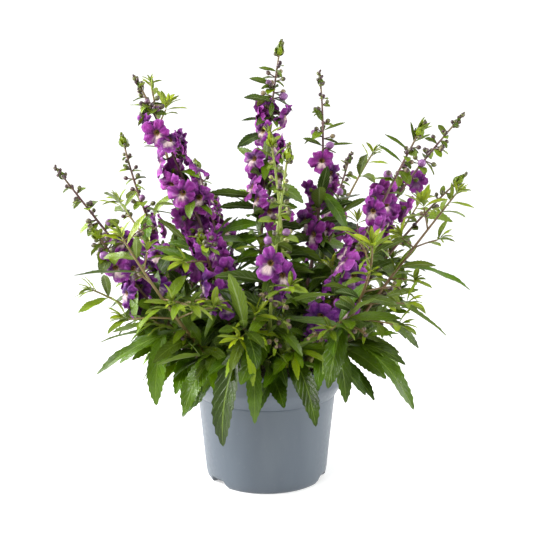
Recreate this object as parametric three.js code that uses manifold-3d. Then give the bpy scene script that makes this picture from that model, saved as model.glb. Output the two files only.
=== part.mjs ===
// A potted angelonia: a grey nursery pot filled with potting soil, upright and leaning stems that each
// stand in a hole in the soil, lance-shaped toothed leaves, and racemes of two-lipped violet blooms that
// run out into round buds. Millimetres, +Z up, the middle of the pot's foot at the origin, and the side
// that the plant is usually seen from towards -Y. Each stem is one body with its leaves, bracts, flower
// stalks and buds; the blooms of a raceme touch each other and are one body round that stem.
import * as THREE from "three";
import { mergeVertices } from "three/addons/utils/BufferGeometryUtils.js";
import Module from "manifold-3d";

const wasm = await Module();
wasm.setup();

// Driving dimensions
const POT = {
  height: 92,
  rimRadius: 60,
  collarHeight: 26, // the collar stands out from the body over this much of the height
  collarFlare: 9,
  bodyTopRadius: 53.1,
  bodyFootRadius: 47.2,
  cornerHeight: 8, // the body's foot is rounded in over this height
  footRadius: 44,
  footWidth: 4.5,
  floorHeight: 3,
  wall: 1.5,
  sides: 32,
};
const DRAINS = { count: 3, firstDegrees: -51.5, width: 22, roofWidth: 13, height: 5.6, depth: 12 };
const SOIL = { top: 80, crown: 2, under: 1.2, sides: 24, stemDepth: 9 };
const GAP = 0.35; // between bodies that touch on the real plant
const SHORTEST_EDGE = 0.02;
const CLEAR_VOLUME = 1e-6; // bodies that share less than this don't cross
const OWN_OVERLAP = 3; // what pieces of one stem may share where they grow together
const STEM = { footRadius: 1.9, tipRadius: 0.65, taper: 0.8 };
const LEAF = { rib: 1.3, fold: 24, hang: 0.3 };
const TUFT = { count: 4, onSkirt: 38 };
const BLOOM = {
  radius: 10.8,
  reach: 9.6, // from the stem's middle line to the bloom's middle
  hollow: 1.6,
  back: 3.2,
  turn: 90, // degrees that each bloom turns on from the one below it
  touch: 0.15, // cubic millimetres that neighbours on a raceme share at least
  clearance: 1.03,
  stalkRadius: 0.8,
  stalked: 3, // every third stalk is part of the stem
};
const BUD = { radius: 2.1, length: 4.8, waist: 0.42, turn: 150, last: 0.985 };

const DEGREE = Math.PI / 180;
const UP = new THREE.Vector3(0, 0, 1);
const FRONT = new THREE.Vector3(0, -1, 0);

// Stems: foot x y on the soil, a point half way, and the tip. blooms is [from, to, count] along the
// stem, buds is [from, count], and leaves is [from, to, pairs, longest leaf].
const RACEMES = [
  {
    name: "01", foot: [-30, -4], middle: [-94, -16, 159], tip: [-152, -26, 239],
    blooms: [0.36, 0.64, 8], buds: [0.66, 8], leaves: [0.2, 0.42, 2, 46],
  },
  {
    name: "02", foot: [-24, 9], middle: [-81, 20, 170], tip: [-112, 24, 263],
    blooms: [0.43, 0.62, 6], buds: [0.67, 8], leaves: [0.22, 0.44, 2, 50],
  },
  {
    name: "03", foot: [-18, -12], middle: [-46, -20, 190], tip: [-93, -30, 303],
    blooms: [0.42, 0.86, 15], buds: [0.88, 5], leaves: [0.22, 0.42, 2, 52],
  },
  {
    name: "04", foot: [-4, 12], middle: [-3, 14, 205], tip: [11, 12, 332],
    blooms: [0.5, 0.8, 10], buds: [0.83, 6], leaves: [0.18, 0.48, 3, 54],
  },
  {
    name: "05", foot: [12, 10], middle: [40, 22, 195], tip: [41, 30, 311],
    blooms: [0.46, 0.7, 7], buds: [0.74, 7], leaves: [0.18, 0.46, 3, 54],
  },
  {
    name: "06", foot: [26, 4], middle: [74, 2, 178], tip: [147, 0, 278],
    blooms: [0.46, 0.76, 9], buds: [0.8, 6], leaves: [0.24, 0.44, 2, 52],
  },
  {
    name: "07", foot: [20, -15], middle: [60, -38, 168], tip: [111, -38, 271],
    blooms: [0.38, 0.76, 12], buds: [0.8, 5], leaves: [0.2, 0.38, 2, 50],
  },
  {
    name: "08", foot: [36, 8], middle: [84, 16, 155], tip: [155, 22, 233],
    buds: [0.62, 8], leaves: [0.18, 0.56, 3, 46],
  },
  {
    name: "09", foot: [2, -38], middle: [4, -72, 160], tip: [15, -86, 255],
    blooms: [0.46, 0.6, 4], buds: [0.64, 8], leaves: [0.14, 0.34, 1, 44],
  },
  {
    name: "10", foot: [-10, -22], middle: [-30, -44, 138], tip: [-46, -62, 196],
    blooms: [0.5, 0.84, 6], buds: [0.88, 4], leaves: [0.18, 0.42, 2, 50],
  },
  {
    name: "11", foot: [-14, 22], middle: [-38, 60, 168], tip: [-60, 84, 242],
    blooms: [0.45, 0.7, 6], buds: [0.74, 5], leaves: [0.22, 0.42, 2, 54],
  },
  {
    name: "12", foot: [4, 28], middle: [8, 76, 160], tip: [14, 116, 232],
    blooms: [0.44, 0.7, 6], buds: [0.74, 5], leaves: [0.22, 0.42, 2, 54],
  },
  {
    name: "13", foot: [18, 22], middle: [48, 66, 172], tip: [72, 88, 248],
    blooms: [0.46, 0.67, 6], buds: [0.74, 5], leaves: [0.22, 0.42, 2, 54],
  },
  {
    name: "14", foot: [-30, -15], middle: [-79, -46, 139], tip: [-120, -60, 198],
    blooms: [0.56, 0.78, 5], buds: [0.84, 4], leaves: [0.2, 0.5, 2, 42],
  },
];
// Leafy shoots carry leaves up to a tuft of young ones. leaves is [from, to, pairs, longest leaf] and
// tuft is the tuft's longest leaf.
const SHOOTS = [
  {
    name: "01", foot: [-21, -24], middle: [-61, -72, 137], tip: [-95, -88, 195],
    leaves: [0.3, 0.86, 3, 34], tuft: 24,
  },
  {
    name: "02", foot: [34, -10], middle: [84, -24, 148], tip: [137, -30, 221],
    leaves: [0.3, 0.9, 3, 28], tuft: 18,
  },
  {
    name: "03", foot: [24, 18], middle: [45, 34, 165], tip: [85, 42, 249],
    leaves: [0.3, 0.88, 3, 38], tuft: 18,
  },
  {
    name: "04", foot: [22, -27], middle: [60, -66, 140], tip: [69, -90, 189],
    leaves: [0.3, 0.9, 3, 34], tuft: 24,
  },
  {
    name: "05", foot: [-32, 0], middle: [-84, -20, 122], tip: [-127, -30, 150],
    leaves: [0.3, 0.86, 3, 34], tuft: 20,
  },
  {
    name: "06", foot: [-26, -2], middle: [-62, 0, 196], tip: [-86, 0, 301],
    leaves: [0.25, 0.9, 3, 26], tuft: 15,
  },
  {
    name: "07", foot: [10, -14], middle: [12, -36, 170], tip: [2, -47, 264],
    leaves: [0.25, 0.9, 3, 18], tuft: 13,
  },
  {
    name: "08", foot: [28, 16], middle: [86, 54, 146], tip: [128, 70, 208],
    leaves: [0.25, 0.9, 3, 46], tuft: 26,
  },
  {
    name: "09", foot: [-32, 18], middle: [-80, 50, 148], tip: [-122, 66, 208],
    leaves: [0.25, 0.9, 3, 46], tuft: 26,
  },
];
// Short shoots at the pot's edge, by compass: 0 is the front and degrees run towards +X.
const SKIRT = {
  feet: 42,
  reach: [78, 94],
  top: [112, 134],
  spread: 6, // a draw adds or takes up to this much
  degrees: [-92, -54, -30, -9, 15, 36, 60, 92, 136, 162, 188, 226],
  leaves: [0.46, 0.86, 2, 50],
};
// The leaves that the front view turns on: the stem that each leaves, how far up it, its tip,
// half its width and how many degrees it arches through.
const PLACED_LEAVES = [
  { on: "skirt_04", at: 0.84, tip: [-29, -96, 55], half: 7.8, droop: 40 },
  { on: "raceme_09", at: 0.3, tip: [-24, -102, 99], half: 7.4, droop: 30 },
  { on: "skirt_03", at: 0.7, tip: [-34, -92, 90], half: 6.8, droop: 45 },
  { on: "skirt_03", at: 0.9, tip: [-56, -84, 74], half: 6.4, droop: 50 },
  { on: "skirt_02", at: 0.86, tip: [-77, -66, 74], half: 5.8, droop: 50 },
  { on: "skirt_02", at: 0.7, tip: [-103, -62, 103], half: 5, droop: 40 },
  { on: "skirt_01", at: 0.9, tip: [-120, -46, 114], half: 4.6, droop: 35 },
  { on: "shoot_01", at: 0.44, tip: [-114, -88, 102], half: 4.6, droop: 30 },
  { on: "shoot_01", at: 0.78, tip: [-129, -80, 168], half: 2.4, droop: 14 },
  { on: "skirt_05", at: 0.8, tip: [33, -94, 68], half: 5.8, droop: 45 },
  { on: "skirt_04", at: 0.66, tip: [-8, -88, 68], half: 4.8, droop: 50 },
  { on: "skirt_06", at: 0.74, tip: [54, -80, 80], half: 5.2, droop: 45 },
  { on: "skirt_06", at: 0.95, tip: [40, -104, 97], half: 6.4, droop: 24 },
  { on: "skirt_07", at: 0.84, tip: [104, -60, 69], half: 6.2, droop: 40 },
  { on: "skirt_07", at: 0.7, tip: [96, -70, 104], half: 4.6, droop: 40 },
  { on: "shoot_04", at: 0.62, tip: [124, -70, 124], half: 3, droop: 40 },
  { on: "shoot_02", at: 0.62, tip: [148, -34, 150], half: 3, droop: 45 },
  { on: "raceme_09", at: 0.36, tip: [54, -90, 134], half: 3.6, droop: 20 },
  { on: "raceme_09", at: 0.4, tip: [34, -92, 161], half: 4, droop: 25 },
  { on: "raceme_09", at: 0.42, tip: [-38, -84, 158], half: 4.6, droop: 20 },
  { on: "raceme_10", at: 0.4, tip: [-62, -62, 150], half: 5.4, droop: 30 },
];
// Turn round the stem, lift from it, and length of each next try, where a leaf would cross a neighbour.
const LEAF_TRIES = [
  [0, 0, 1], [16, 0, 1], [-16, 0, 1], [0, 16, 1], [0, -16, 0.96], [32, 6, 0.94], [-32, 6, 0.94],
  [20, 24, 0.9], [-20, 24, 0.9], [48, 0, 0.86], [-48, 0, 0.86], [0, 36, 0.8], [70, 14, 0.76],
  [-70, 14, 0.76],
];
// Millimetres across and up that a placed leaf's tip moves on each next try
const PLACED_TRIES = [
  [0, 0], [0, 5], [0, -5], [7, 0], [-7, 0], [7, 7], [-7, 7], [12, -4], [-12, -4], [0, 12], [16, 6],
  [-16, 6],
];
// Degrees that a bloom turns less far round its stem on each next try
const BLOOM_TRIES = [0, -4, -8, -12, -16, -20, -24, -28, -32, -36, -40, -44, -48, -54, -60, -66, -72];

// Seeded draws: each stem and each kind of piece on it starts its own run.
let state = 1;
function startDraws(number) {
  state = Math.imul(number + 1, 2654435761) >>> 0;
  for (let i = 0; i < 3; i++) draw();
}
function draw() {
  state = (Math.imul(state, 1664525) + 1013904223) >>> 0;
  return state / 4294967296;
}
const between = (low, high) => low + (high - low) * draw();

// A closed geometry as a solid
function solidOf(geometry) {
  geometry.deleteAttribute("normal");
  geometry.deleteAttribute("uv");
  const merged = mergeVertices(geometry, 1e-4);
  const mesh = new wasm.Mesh({
    numProp: 3,
    vertProperties: merged.attributes.position.array,
    triVerts: new Uint32Array(merged.index.array),
  });
  return new wasm.Manifold(mesh);
}

function geometryOf(solid) {
  const mesh = solid.getMesh();
  const geometry = new THREE.BufferGeometry();
  geometry.setAttribute("position", new THREE.BufferAttribute(mesh.vertProperties, 3));
  geometry.setIndex(new THREE.BufferAttribute(mesh.triVerts, 1));
  return geometry;
}

function join(solids) {
  return solids.reduce((whole, next) => whole.add(next));
}

// The largest connected body, without loose scraps or edges too short to write
function mainBody(solid) {
  const larger = (one, other) => (other.volume() > one.volume() ? other : one);
  return solid.decompose().reduce(larger).simplify(SHORTEST_EDGE);
}

// A stem's curve: its point and direction, and the two directions square to it
function curvePlace(stem, t) {
  const foot = new THREE.Vector3(stem.foot[0], stem.foot[1], SOIL.top - SOIL.stemDepth);
  const tip = new THREE.Vector3(...stem.tip);
  const knee = new THREE.Vector3(...stem.middle).multiplyScalar(2);
  knee.addScaledVector(foot, -0.5).addScaledVector(tip, -0.5);
  const point = foot.clone().multiplyScalar((1 - t) ** 2);
  point.addScaledVector(knee, 2 * t * (1 - t)).addScaledVector(tip, t * t);
  const along = knee.clone().sub(foot).multiplyScalar(1 - t);
  along.addScaledVector(tip.clone().sub(knee), t).normalize();
  const front = FRONT.clone().addScaledVector(along, -FRONT.dot(along)).normalize();
  const side = front.clone().cross(along);
  return { point, along, front, side };
}
// The same, with the point on the middle line of the straight lengths that the stem is made of
function stemPlace(stem, t) {
  const length = Math.min(Math.floor(t * stem.steps), stem.steps - 1);
  const from = curvePlace(stem, length / stem.steps).point;
  const to = curvePlace(stem, (length + 1) / stem.steps).point;
  return { ...curvePlace(stem, t), point: from.lerp(to, t * stem.steps - length) };
}
function stemRadius(t) {
  return STEM.footRadius + (STEM.tipRadius - STEM.footRadius) * t ** STEM.taper;
}
// The direction away from the stem at so many degrees round it, from the front
function outward(place, degrees) {
  const turn = degrees * DEGREE;
  return place.front.clone().multiplyScalar(Math.cos(turn)).addScaledVector(place.side, Math.sin(turn));
}

// A tapering stem: a cylinder bent to the stem's line
function stemSolid(stem, grow = 0) {
  const geometry = new THREE.CylinderGeometry(1, 1, 1, stem.sides, stem.steps);
  const position = geometry.attributes.position;
  const corner = new THREE.Vector3();
  for (let i = 0; i < position.count; i++) {
    corner.fromBufferAttribute(position, i);
    const t = corner.y + 0.5;
    const { point, front, side } = curvePlace(stem, t);
    const radius = stemRadius(t) + grow;
    point.addScaledVector(front, corner.x * radius).addScaledVector(side, corner.z * radius);
    position.setXYZ(i, point.x, point.y, point.z);
  }
  return solidOf(geometry);
}

// How a leaf lies: it leaves its base along one direction and bends evenly towards another
function hangFrom(along) {
  const down = new THREE.Vector3(along.x * LEAF.hang, along.y * LEAF.hang, -1);
  return down.addScaledVector(along, -down.dot(along)).normalize();
}
function leafLie(base, along, droopDegrees, length) {
  return { base, along, down: hangFrom(along), droop: droopDegrees * DEGREE, length };
}
// The same from its base and tip
function leafLieBetween(base, tip, droopDegrees) {
  const chord = tip.clone().sub(base);
  const half = (droopDegrees * DEGREE) / 2;
  const straight = chord.length();
  chord.normalize();
  const down = hangFrom(chord);
  const along = chord.clone().multiplyScalar(Math.cos(half)).addScaledVector(down, -Math.sin(half));
  const bend = down.clone().multiplyScalar(Math.cos(half)).addScaledVector(chord, Math.sin(half));
  return { base, along, down: bend, droop: 2 * half, length: (straight * half) / Math.sin(half) };
}
// A place on the leaf's rib, the way up from its face and the way across it
function ribPlace(lie, u, roll = 0) {
  const { along, down } = lie;
  const angle = lie.droop * u;
  const bendRadius = lie.length / lie.droop;
  const point = lie.base.clone().addScaledVector(along, bendRadius * Math.sin(angle));
  point.addScaledVector(down, bendRadius * (1 - Math.cos(angle)));
  const up = along.clone().multiplyScalar(Math.sin(angle)).addScaledVector(down, -Math.cos(angle));
  const across = along.clone().cross(down).negate();
  const turn = roll * DEGREE * (0.5 + 0.5 * u);
  return {
    point,
    up: up.clone().multiplyScalar(Math.cos(turn)).addScaledVector(across, -Math.sin(turn)),
    across: across.clone().multiplyScalar(Math.cos(turn)).addScaledVector(up, Math.sin(turn)),
  };
}

// Each kind of leaf: edge points of half of it, as shares of its length and half width, where the
// teeth stand out, and the places of its rib's points
const LEAF_KINDS = {
  large: { edge: [[0.14, 0.5], [0.38, 1], [0.46, 0.84], [0.7, 0.64]], ribs: [0.14, 0.55] },
  plain: { edge: [[0.16, 0.5], [0.44, 1], [0.52, 0.8]], ribs: [0.3] },
  young: { edge: [[0.42, 1]], ribs: [0.3] },
};

// A leaf: a roof of two slopes either side of a rib, the same triangles on both faces, sharp at its edges
function leafSolid(leaf, grow = 0) {
  const { lie, half, roll } = leaf;
  const { edge, ribs } = LEAF_KINDS[leaf.kind];
  const corners = [];
  const add = (place, across, lift) => {
    corners.push(place.point.clone().addScaledVector(place.across, across).addScaledVector(place.up, lift));
    return corners.length - 1;
  };
  const fold = LEAF.fold * DEGREE;
  const rib = LEAF.rib / 2 + grow;
  const base = add(ribPlace(lie, 0, roll), 0, 0);
  const tip = add(ribPlace(lie, 1 + grow / lie.length, roll), 0, 0);
  const top = [base, ...ribs.map((u) => add(ribPlace(lie, u, roll), 0, rib)), tip];
  const bottom = [base, ...ribs.map((u) => add(ribPlace(lie, u, roll), 0, -rib)), tip];
  const sides = [-1, 1].map((side) => {
    const points = edge.map(([u, share]) => {
      const width = half * share + grow;
      return add(ribPlace(lie, u, roll), side * width * Math.cos(fold), width * Math.sin(fold));
    });
    return [base, ...points, tip];
  });
  const faces = [];
  const ribShares = [0, ...ribs, 1];
  const edgeShares = [0, ...edge.map(([u]) => u), 1];
  // Walks up the rib and the edge together, always taking the step that ends lower
  const strip = (ribLine, edgeLine, flip) => {
    const ribEnd = ribLine.length - 1;
    const edgeEnd = edgeLine.length - 1;
    let r = 0;
    let e = 0;
    while (r < ribEnd || e < edgeEnd) {
      const ribNext = e === edgeEnd || (r < ribEnd && ribShares[r + 1] < edgeShares[e + 1]);
      const face = [ribLine[r], edgeLine[e], ribNext ? ribLine[r + 1] : edgeLine[e + 1]];
      if (new Set(face).size === 3) faces.push(flip ? face.reverse() : face);
      if (ribNext) r++;
      else e++;
    }
  };
  strip(top, sides[1], false);
  strip(top, sides[0], true);
  strip(bottom, sides[1], true);
  strip(bottom, sides[0], false);
  const geometry = new THREE.BufferGeometry().setFromPoints(corners);
  geometry.setIndex(faces.flat());
  return solidOf(geometry);
}

// A closed body of points turned to a direction, from rings of three round its axis
function spike(base, direction, profile) {
  const outline = profile.map(([radius, along]) => new THREE.Vector2(radius, along));
  const geometry = new THREE.LatheGeometry(outline, 3);
  const turn = new THREE.Quaternion().setFromUnitVectors(new THREE.Vector3(0, 1, 0), direction);
  geometry.applyQuaternion(turn);
  geometry.translate(base.x, base.y, base.z);
  return solidOf(geometry);
}
// A bud on its stalk
function budSolid(bud, grow = 0) {
  const length = bud.stalk + BUD.length * bud.size;
  const waist = bud.stalk + BUD.length * bud.size * BUD.waist;
  const radius = BUD.radius * bud.size + grow;
  return spike(bud.base, bud.direction, [[0, -grow], [radius, waist], [0, length + grow]]);
}
// A flower stalk, which ends just behind its bloom
function stalkSolid(bloom) {
  const end = bloom.centre.clone().addScaledVector(bloom.facing, -BLOOM.back * bloom.size);
  const direction = end.sub(bloom.root);
  const length = direction.length() - GAP;
  const widest = BLOOM.stalkRadius / 2;
  return spike(bloom.root, direction.normalize(), [[0, 0], [BLOOM.stalkRadius, widest], [0, length]]);
}

// Edge of a bloom seen from the front, as degrees, share of its radius and how far forward in
// millimetres: two upper lobes, two side lobes and a longer lower lip, with notches between them
const BLOOM_EDGE = [
  [90, 0.5, -1], [54, 1, -1.4], [22, 0.54, -0.6],
  [6, 0.96, 0], [-24, 0.98, 0.4], [-42, 0.62, 0.4],
  [-72, 1.06, 0.8], [-108, 1.06, 0.8], [-138, 0.62, 0.4],
  [-156, 0.98, 0.4], [-186, 0.96, 0], [-202, 0.54, -0.6], [-234, 1, -1.4],
];

// A two-lipped bloom: a lobed funnel with a hollow face and a short tube behind it
function bloomSolid(bloom) {
  const { centre, facing, up, right, size } = bloom;
  const corners = [];
  const add = (degrees, radius, forward) => {
    const corner = centre.clone().addScaledVector(facing, forward * size);
    corner.addScaledVector(right, Math.cos(degrees * DEGREE) * radius * size);
    corner.addScaledVector(up, Math.sin(degrees * DEGREE) * radius * size);
    corners.push(corner);
    return corners.length - 1;
  };
  const rim = BLOOM_EDGE.map(([degrees, share, forward]) => add(degrees, BLOOM.radius * share, forward));
  const deep = add(0, 0, -BLOOM.hollow);
  const back = add(0, 0, -BLOOM.back);
  const faces = [];
  rim.forEach((corner, i) => {
    const next = rim[(i + 1) % rim.length];
    faces.push([deep, next, corner], [back, corner, next]);
  });
  const geometry = new THREE.BufferGeometry().setFromPoints(corners);
  geometry.setIndex(faces.flat());
  return solidOf(geometry);
}

// Where each bloom of a raceme sits: winding round the stem, looking out and a little up
function bloomPlaces(stem, number) {
  startDraws(number * 10 + 1);
  const [from, to, count] = stem.blooms;
  return Array.from({ length: count }, (_, i) => {
    const share = i / (count - 1);
    const turn = i === 0 ? between(0, 360) : BLOOM.turn + between(-7, 7);
    const lift = between(-6, 12);
    const size = 1.04 - 0.16 * share + between(-0.03, 0.03);
    return { t: from + (to - from) * share, turn, lift, size };
  });
}
function layBloom(stem, bloom, turn) {
  const place = stemPlace(stem, bloom.t);
  const { size } = bloom;
  const lift = bloom.lift * DEGREE;
  const out = outward(place, turn);
  const facing = out.clone().multiplyScalar(Math.cos(lift)).addScaledVector(UP, Math.sin(lift)).normalize();
  const up = UP.clone().addScaledVector(facing, -UP.dot(facing)).normalize();
  const right = up.clone().cross(facing);
  const centre = place.point.clone().addScaledVector(out, BLOOM.reach * size);
  return { centre, facing, up, right, size, root: place.point };
}

// Buds up the end of a raceme
function budPlaces(stem, number) {
  startDraws(number * 10 + 2);
  const [from, count] = stem.buds;
  const places = [];
  let turn = between(0, 360);
  for (let i = 0; i < count; i++) {
    const share = i / (count - 1);
    const place = stemPlace(stem, from + (BUD.last - from) * share);
    turn += BUD.turn + between(-20, 20);
    const direction = outward(place, turn).multiplyScalar(0.86 - 0.4 * share);
    direction.addScaledVector(place.along, 0.3 + 0.5 * share).normalize();
    const stalk = between(3.5, 6) * (1 - 0.75 * share);
    places.push({ base: place.point, direction, stalk, size: 1.05 - 0.35 * share });
  }
  return places;
}

// Leaves in pairs up a stem, each pair a quarter turn on from the last
function pairedLeaves(stem, number) {
  startDraws(number * 10 + 3);
  const [from, to, pairs, longest] = stem.leaves;
  const leaves = [];
  let turn = between(0, 180);
  for (let i = 0; i < pairs; i++) {
    const share = pairs > 1 ? i / (pairs - 1) : 0;
    turn += 90 + between(-14, 14);
    for (const half of [0, 180]) {
      leaves.push({
        t: from + (to - from) * share,
        turn: turn + half + between(-10, 10),
        lift: between(12, 38) + 12 * share,
        length: longest * (1 - 0.2 * share) * between(0.88, 1.08),
        droop: between(18, 50),
        roll: between(-58, 58),
        slim: between(0.115, 0.15),
        kind: i === 0 && stem.buds ? "large" : "plain",
      });
    }
  }
  return leaves;
}

// The tuft of young leaves that ends a leafy shoot
function tuftLeaves(longest, number) {
  startDraws(number * 10 + 4);
  const leaves = [];
  let turn = between(0, 180);
  for (let i = 0; i < TUFT.count; i++) {
    turn += 137.5 + between(-10, 10);
    const share = i / (TUFT.count - 1);
    leaves.push({
      t: 0.95 + 0.045 * share,
      turn,
      lift: 34 + 38 * share + between(-6, 6),
      length: longest * (1 - 0.45 * share) * between(0.9, 1.1),
      droop: between(8, 30),
      roll: between(-40, 40),
      slim: between(0.12, 0.15),
      kind: "young",
    });
  }
  return leaves;
}

// Turns a leaf's numbers into how it lies, on one of its tries
function layLeaf(stem, leaf, attempt) {
  const [turn, lift, scale] = LEAF_TRIES[attempt];
  const place = stemPlace(stem, leaf.t);
  const rise = (leaf.lift + lift) * DEGREE;
  const along = outward(place, leaf.turn + turn).multiplyScalar(Math.cos(rise));
  along.addScaledVector(place.along, Math.sin(rise)).normalize();
  const length = leaf.length * scale;
  const lie = leafLie(place.point, along, leaf.droop, length);
  return { lie, half: length * leaf.slim, roll: leaf.roll, kind: leaf.kind };
}
function layPlacedLeaf(stem, leaf, attempt) {
  const [across, up] = PLACED_TRIES[attempt];
  const tip = new THREE.Vector3(leaf.tip[0] + across, leaf.tip[1], leaf.tip[2] + up);
  const lie = leafLieBetween(stemPlace(stem, leaf.at).point, tip, leaf.droop);
  return { lie, half: leaf.half, roll: 0, kind: "large" };
}

// Solids that stand already, with the body that each belongs to
const standing = [];
function stand(solid, owner) {
  standing.push({ solid, owner, box: solid.boundingBox() });
}
function boxesMeet(a, b) {
  return [0, 1, 2].every((k) => a.min[k] <= b.max[k] && b.min[k] <= a.max[k]);
}
// Clear of other bodies, and all but clear of its own past the place where they grow together
function isClear(solid, owner) {
  const box = solid.boundingBox();
  return !standing.some((other) => {
    const allowed = other.owner === owner ? OWN_OVERLAP : CLEAR_VOLUME;
    return boxesMeet(box, other.box) && solid.intersect(other.solid).volume() > allowed;
  });
}

const leafGreen = new THREE.MeshStandardMaterial({ color: "#3c6b1e", roughness: 0.5, metalness: 0 });
const youngGreen = new THREE.MeshStandardMaterial({ color: "#6f9a2a", roughness: 0.5, metalness: 0 });
const petalViolet = new THREE.MeshStandardMaterial({ color: "#7d2596", roughness: 0.6, metalness: 0 });
const potGrey = new THREE.MeshStandardMaterial({ color: "#7d858f", roughness: 0.45, metalness: 0 });
const soilBrown = new THREE.MeshStandardMaterial({ color: "#33241a", roughness: 0.95, metalness: 0 });

const plant = new THREE.Group();
function addNode(name, solid, material) {
  const mesh = new THREE.Mesh(geometryOf(solid), material);
  mesh.name = name;
  plant.add(mesh);
}

// The pot: a turned shell with a flared collar, a raised floor and drain notches through its foot
function potSolid() {
  const collarFoot = POT.height - POT.collarHeight;
  const collarTop = collarFoot + POT.collarFlare;
  const { wall } = POT;
  const profile = [
    [0, POT.floorHeight],
    [POT.footRadius - POT.footWidth - 1, POT.floorHeight],
    [POT.footRadius - POT.footWidth, 0],
    [POT.footRadius, 0],
    [POT.bodyFootRadius - 1, POT.cornerHeight * 0.35],
    [POT.bodyFootRadius, POT.cornerHeight],
    [POT.bodyTopRadius, collarFoot],
    [POT.rimRadius, collarTop + 2],
    [POT.rimRadius, POT.height],
    [POT.rimRadius - wall, POT.height],
    [POT.rimRadius - wall, collarTop + 2.4],
    [POT.bodyTopRadius - wall, collarFoot + 0.7],
    [POT.bodyFootRadius - wall, POT.cornerHeight],
    [POT.footRadius - 0.6, POT.floorHeight + wall],
    [0, POT.floorHeight + wall],
  ].map(([radius, z]) => new THREE.Vector2(radius, z));
  const shell = new THREE.LatheGeometry(profile, POT.sides);
  shell.rotateX(Math.PI / 2);
  let pot = solidOf(shell);
  const notch = new THREE.Shape([
    new THREE.Vector2(-DRAINS.width / 2, -1),
    new THREE.Vector2(DRAINS.width / 2, -1),
    new THREE.Vector2(DRAINS.roofWidth / 2, DRAINS.height),
    new THREE.Vector2(-DRAINS.roofWidth / 2, DRAINS.height),
  ]);
  for (let i = 0; i < DRAINS.count; i++) {
    const cutter = new THREE.ExtrudeGeometry(notch, { depth: DRAINS.depth, bevelEnabled: false });
    cutter.rotateX(Math.PI / 2); // the outline stands up, and its depth runs towards the front
    cutter.translate(0, -(POT.footRadius - 5), 0);
    cutter.rotateZ((DRAINS.firstDegrees + (360 / DRAINS.count) * i) * DEGREE);
    pot = pot.subtract(solidOf(cutter));
  }
  return pot;
}

// The soil: a plug as deep as the pot, a little crowned, with a plain hole for each stem
function soilSolid(stems) {
  const inside = POT.bodyFootRadius - POT.wall - 1;
  const shoulder = POT.height - POT.collarHeight;
  const floor = POT.floorHeight + POT.wall + SOIL.under;
  const profile = [
    [0, floor],
    [POT.footRadius - 1.6, floor],
    [inside - 0.2, POT.cornerHeight + 1],
    [POT.bodyTopRadius - POT.wall - 0.8, shoulder],
    [POT.bodyTopRadius - POT.wall + 1.4, SOIL.top - SOIL.crown],
    [POT.bodyTopRadius - 8, SOIL.top],
    [0, SOIL.top],
  ].map(([radius, z]) => new THREE.Vector2(radius, z));
  const plug = new THREE.LatheGeometry(profile, SOIL.sides);
  plug.rotateX(Math.PI / 2);
  return stems.reduce((soil, stem) => soil.subtract(stemSolid(stem, GAP)), solidOf(plug));
}

// Short shoots round the pot's edge, placed by compass
function skirtStems() {
  return SKIRT.degrees.map((degrees, i) => {
    startDraws(900 + i);
    const turn = degrees * DEGREE;
    const reach = SKIRT.reach[i % 2] + between(-SKIRT.spread, SKIRT.spread);
    const top = SKIRT.top[i % 2] + between(-SKIRT.spread, SKIRT.spread);
    const at = (radius) => [
      Math.round(Math.sin(turn) * radius),
      Math.round(-Math.cos(turn) * radius),
    ];
    return {
      name: String(i + 1).padStart(2, "0"),
      foot: at(SKIRT.feet),
      middle: [...at((SKIRT.feet + reach) / 2 - 4), Math.round((SOIL.top + top) / 2 + 5)],
      tip: [...at(reach), Math.round(top)],
      leaves: SKIRT.leaves,
    };
  });
}

const stems = [
  ...RACEMES.map((stem) => ({ ...stem, node: "raceme_" + stem.name, sides: 4, steps: 5 })),
  ...SHOOTS.map((stem) => ({ ...stem, node: "shoot_" + stem.name, sides: 4, steps: 4 })),
  ...skirtStems().map((stem) => ({ ...stem, node: "skirt_" + stem.name, sides: 3, steps: 3 })),
];

const pot = potSolid();
const soil = soilSolid(stems);
stand(pot, "pot");
stand(soil, "soil");

// Stems and flower stalks come first, then the blooms round them
for (const stem of stems) {
  stem.parts = [stemSolid(stem)];
  stand(stem.parts[0], stem.node);
}
stems.forEach((stem, number) => {
  if (!stem.blooms) return;
  const blooms = [];
  const owner = stem.node + " blooms";
  let turn = 0;
  for (const bloom of bloomPlaces(stem, number)) {
    const last = blooms[blooms.length - 1];
    for (const twist of BLOOM_TRIES) {
      const laid = layBloom(stem, bloom, turn + bloom.turn + twist);
      const solid = bloomSolid(laid);
      if (last && solid.intersect(last).volume() < BLOOM.touch) continue;
      if (!isClear(bloomSolid({ ...laid, size: laid.size * BLOOM.clearance }), owner)) continue;
      if (blooms.length % BLOOM.stalked === 0) stem.parts.push(stalkSolid(laid));
      blooms.push(solid);
      turn += bloom.turn + twist;
      break;
    }
  }
  stem.blooming = mainBody(join(blooms));
  stand(stem.blooming, owner);
});

// Then the buds, the placed leaves and the leaves by rule, each on its first try that is clear
function keep(stem, solid) {
  stem.parts.push(solid);
  stand(solid, stem.node);
}
function addLeaf(stem, tries, layTry) {
  const laid = tries.map((_, attempt) => layTry(attempt));
  const clear = laid.find((leaf) => isClear(leafSolid(leaf, GAP), stem.node));
  if (clear) keep(stem, leafSolid(clear));
}
stems.forEach((stem, number) => {
  if (!stem.buds) return;
  for (const bud of budPlaces(stem, number)) {
    if (isClear(budSolid(bud, GAP), stem.node)) keep(stem, budSolid(bud));
  }
});
for (const leaf of PLACED_LEAVES) {
  const stem = stems.find((other) => other.node === leaf.on);
  addLeaf(stem, PLACED_TRIES, (attempt) => layPlacedLeaf(stem, leaf, attempt));
}
stems.forEach((stem, number) => {
  for (const leaf of pairedLeaves(stem, number)) {
    addLeaf(stem, LEAF_TRIES, (attempt) => layLeaf(stem, leaf, attempt));
  }
});
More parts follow.
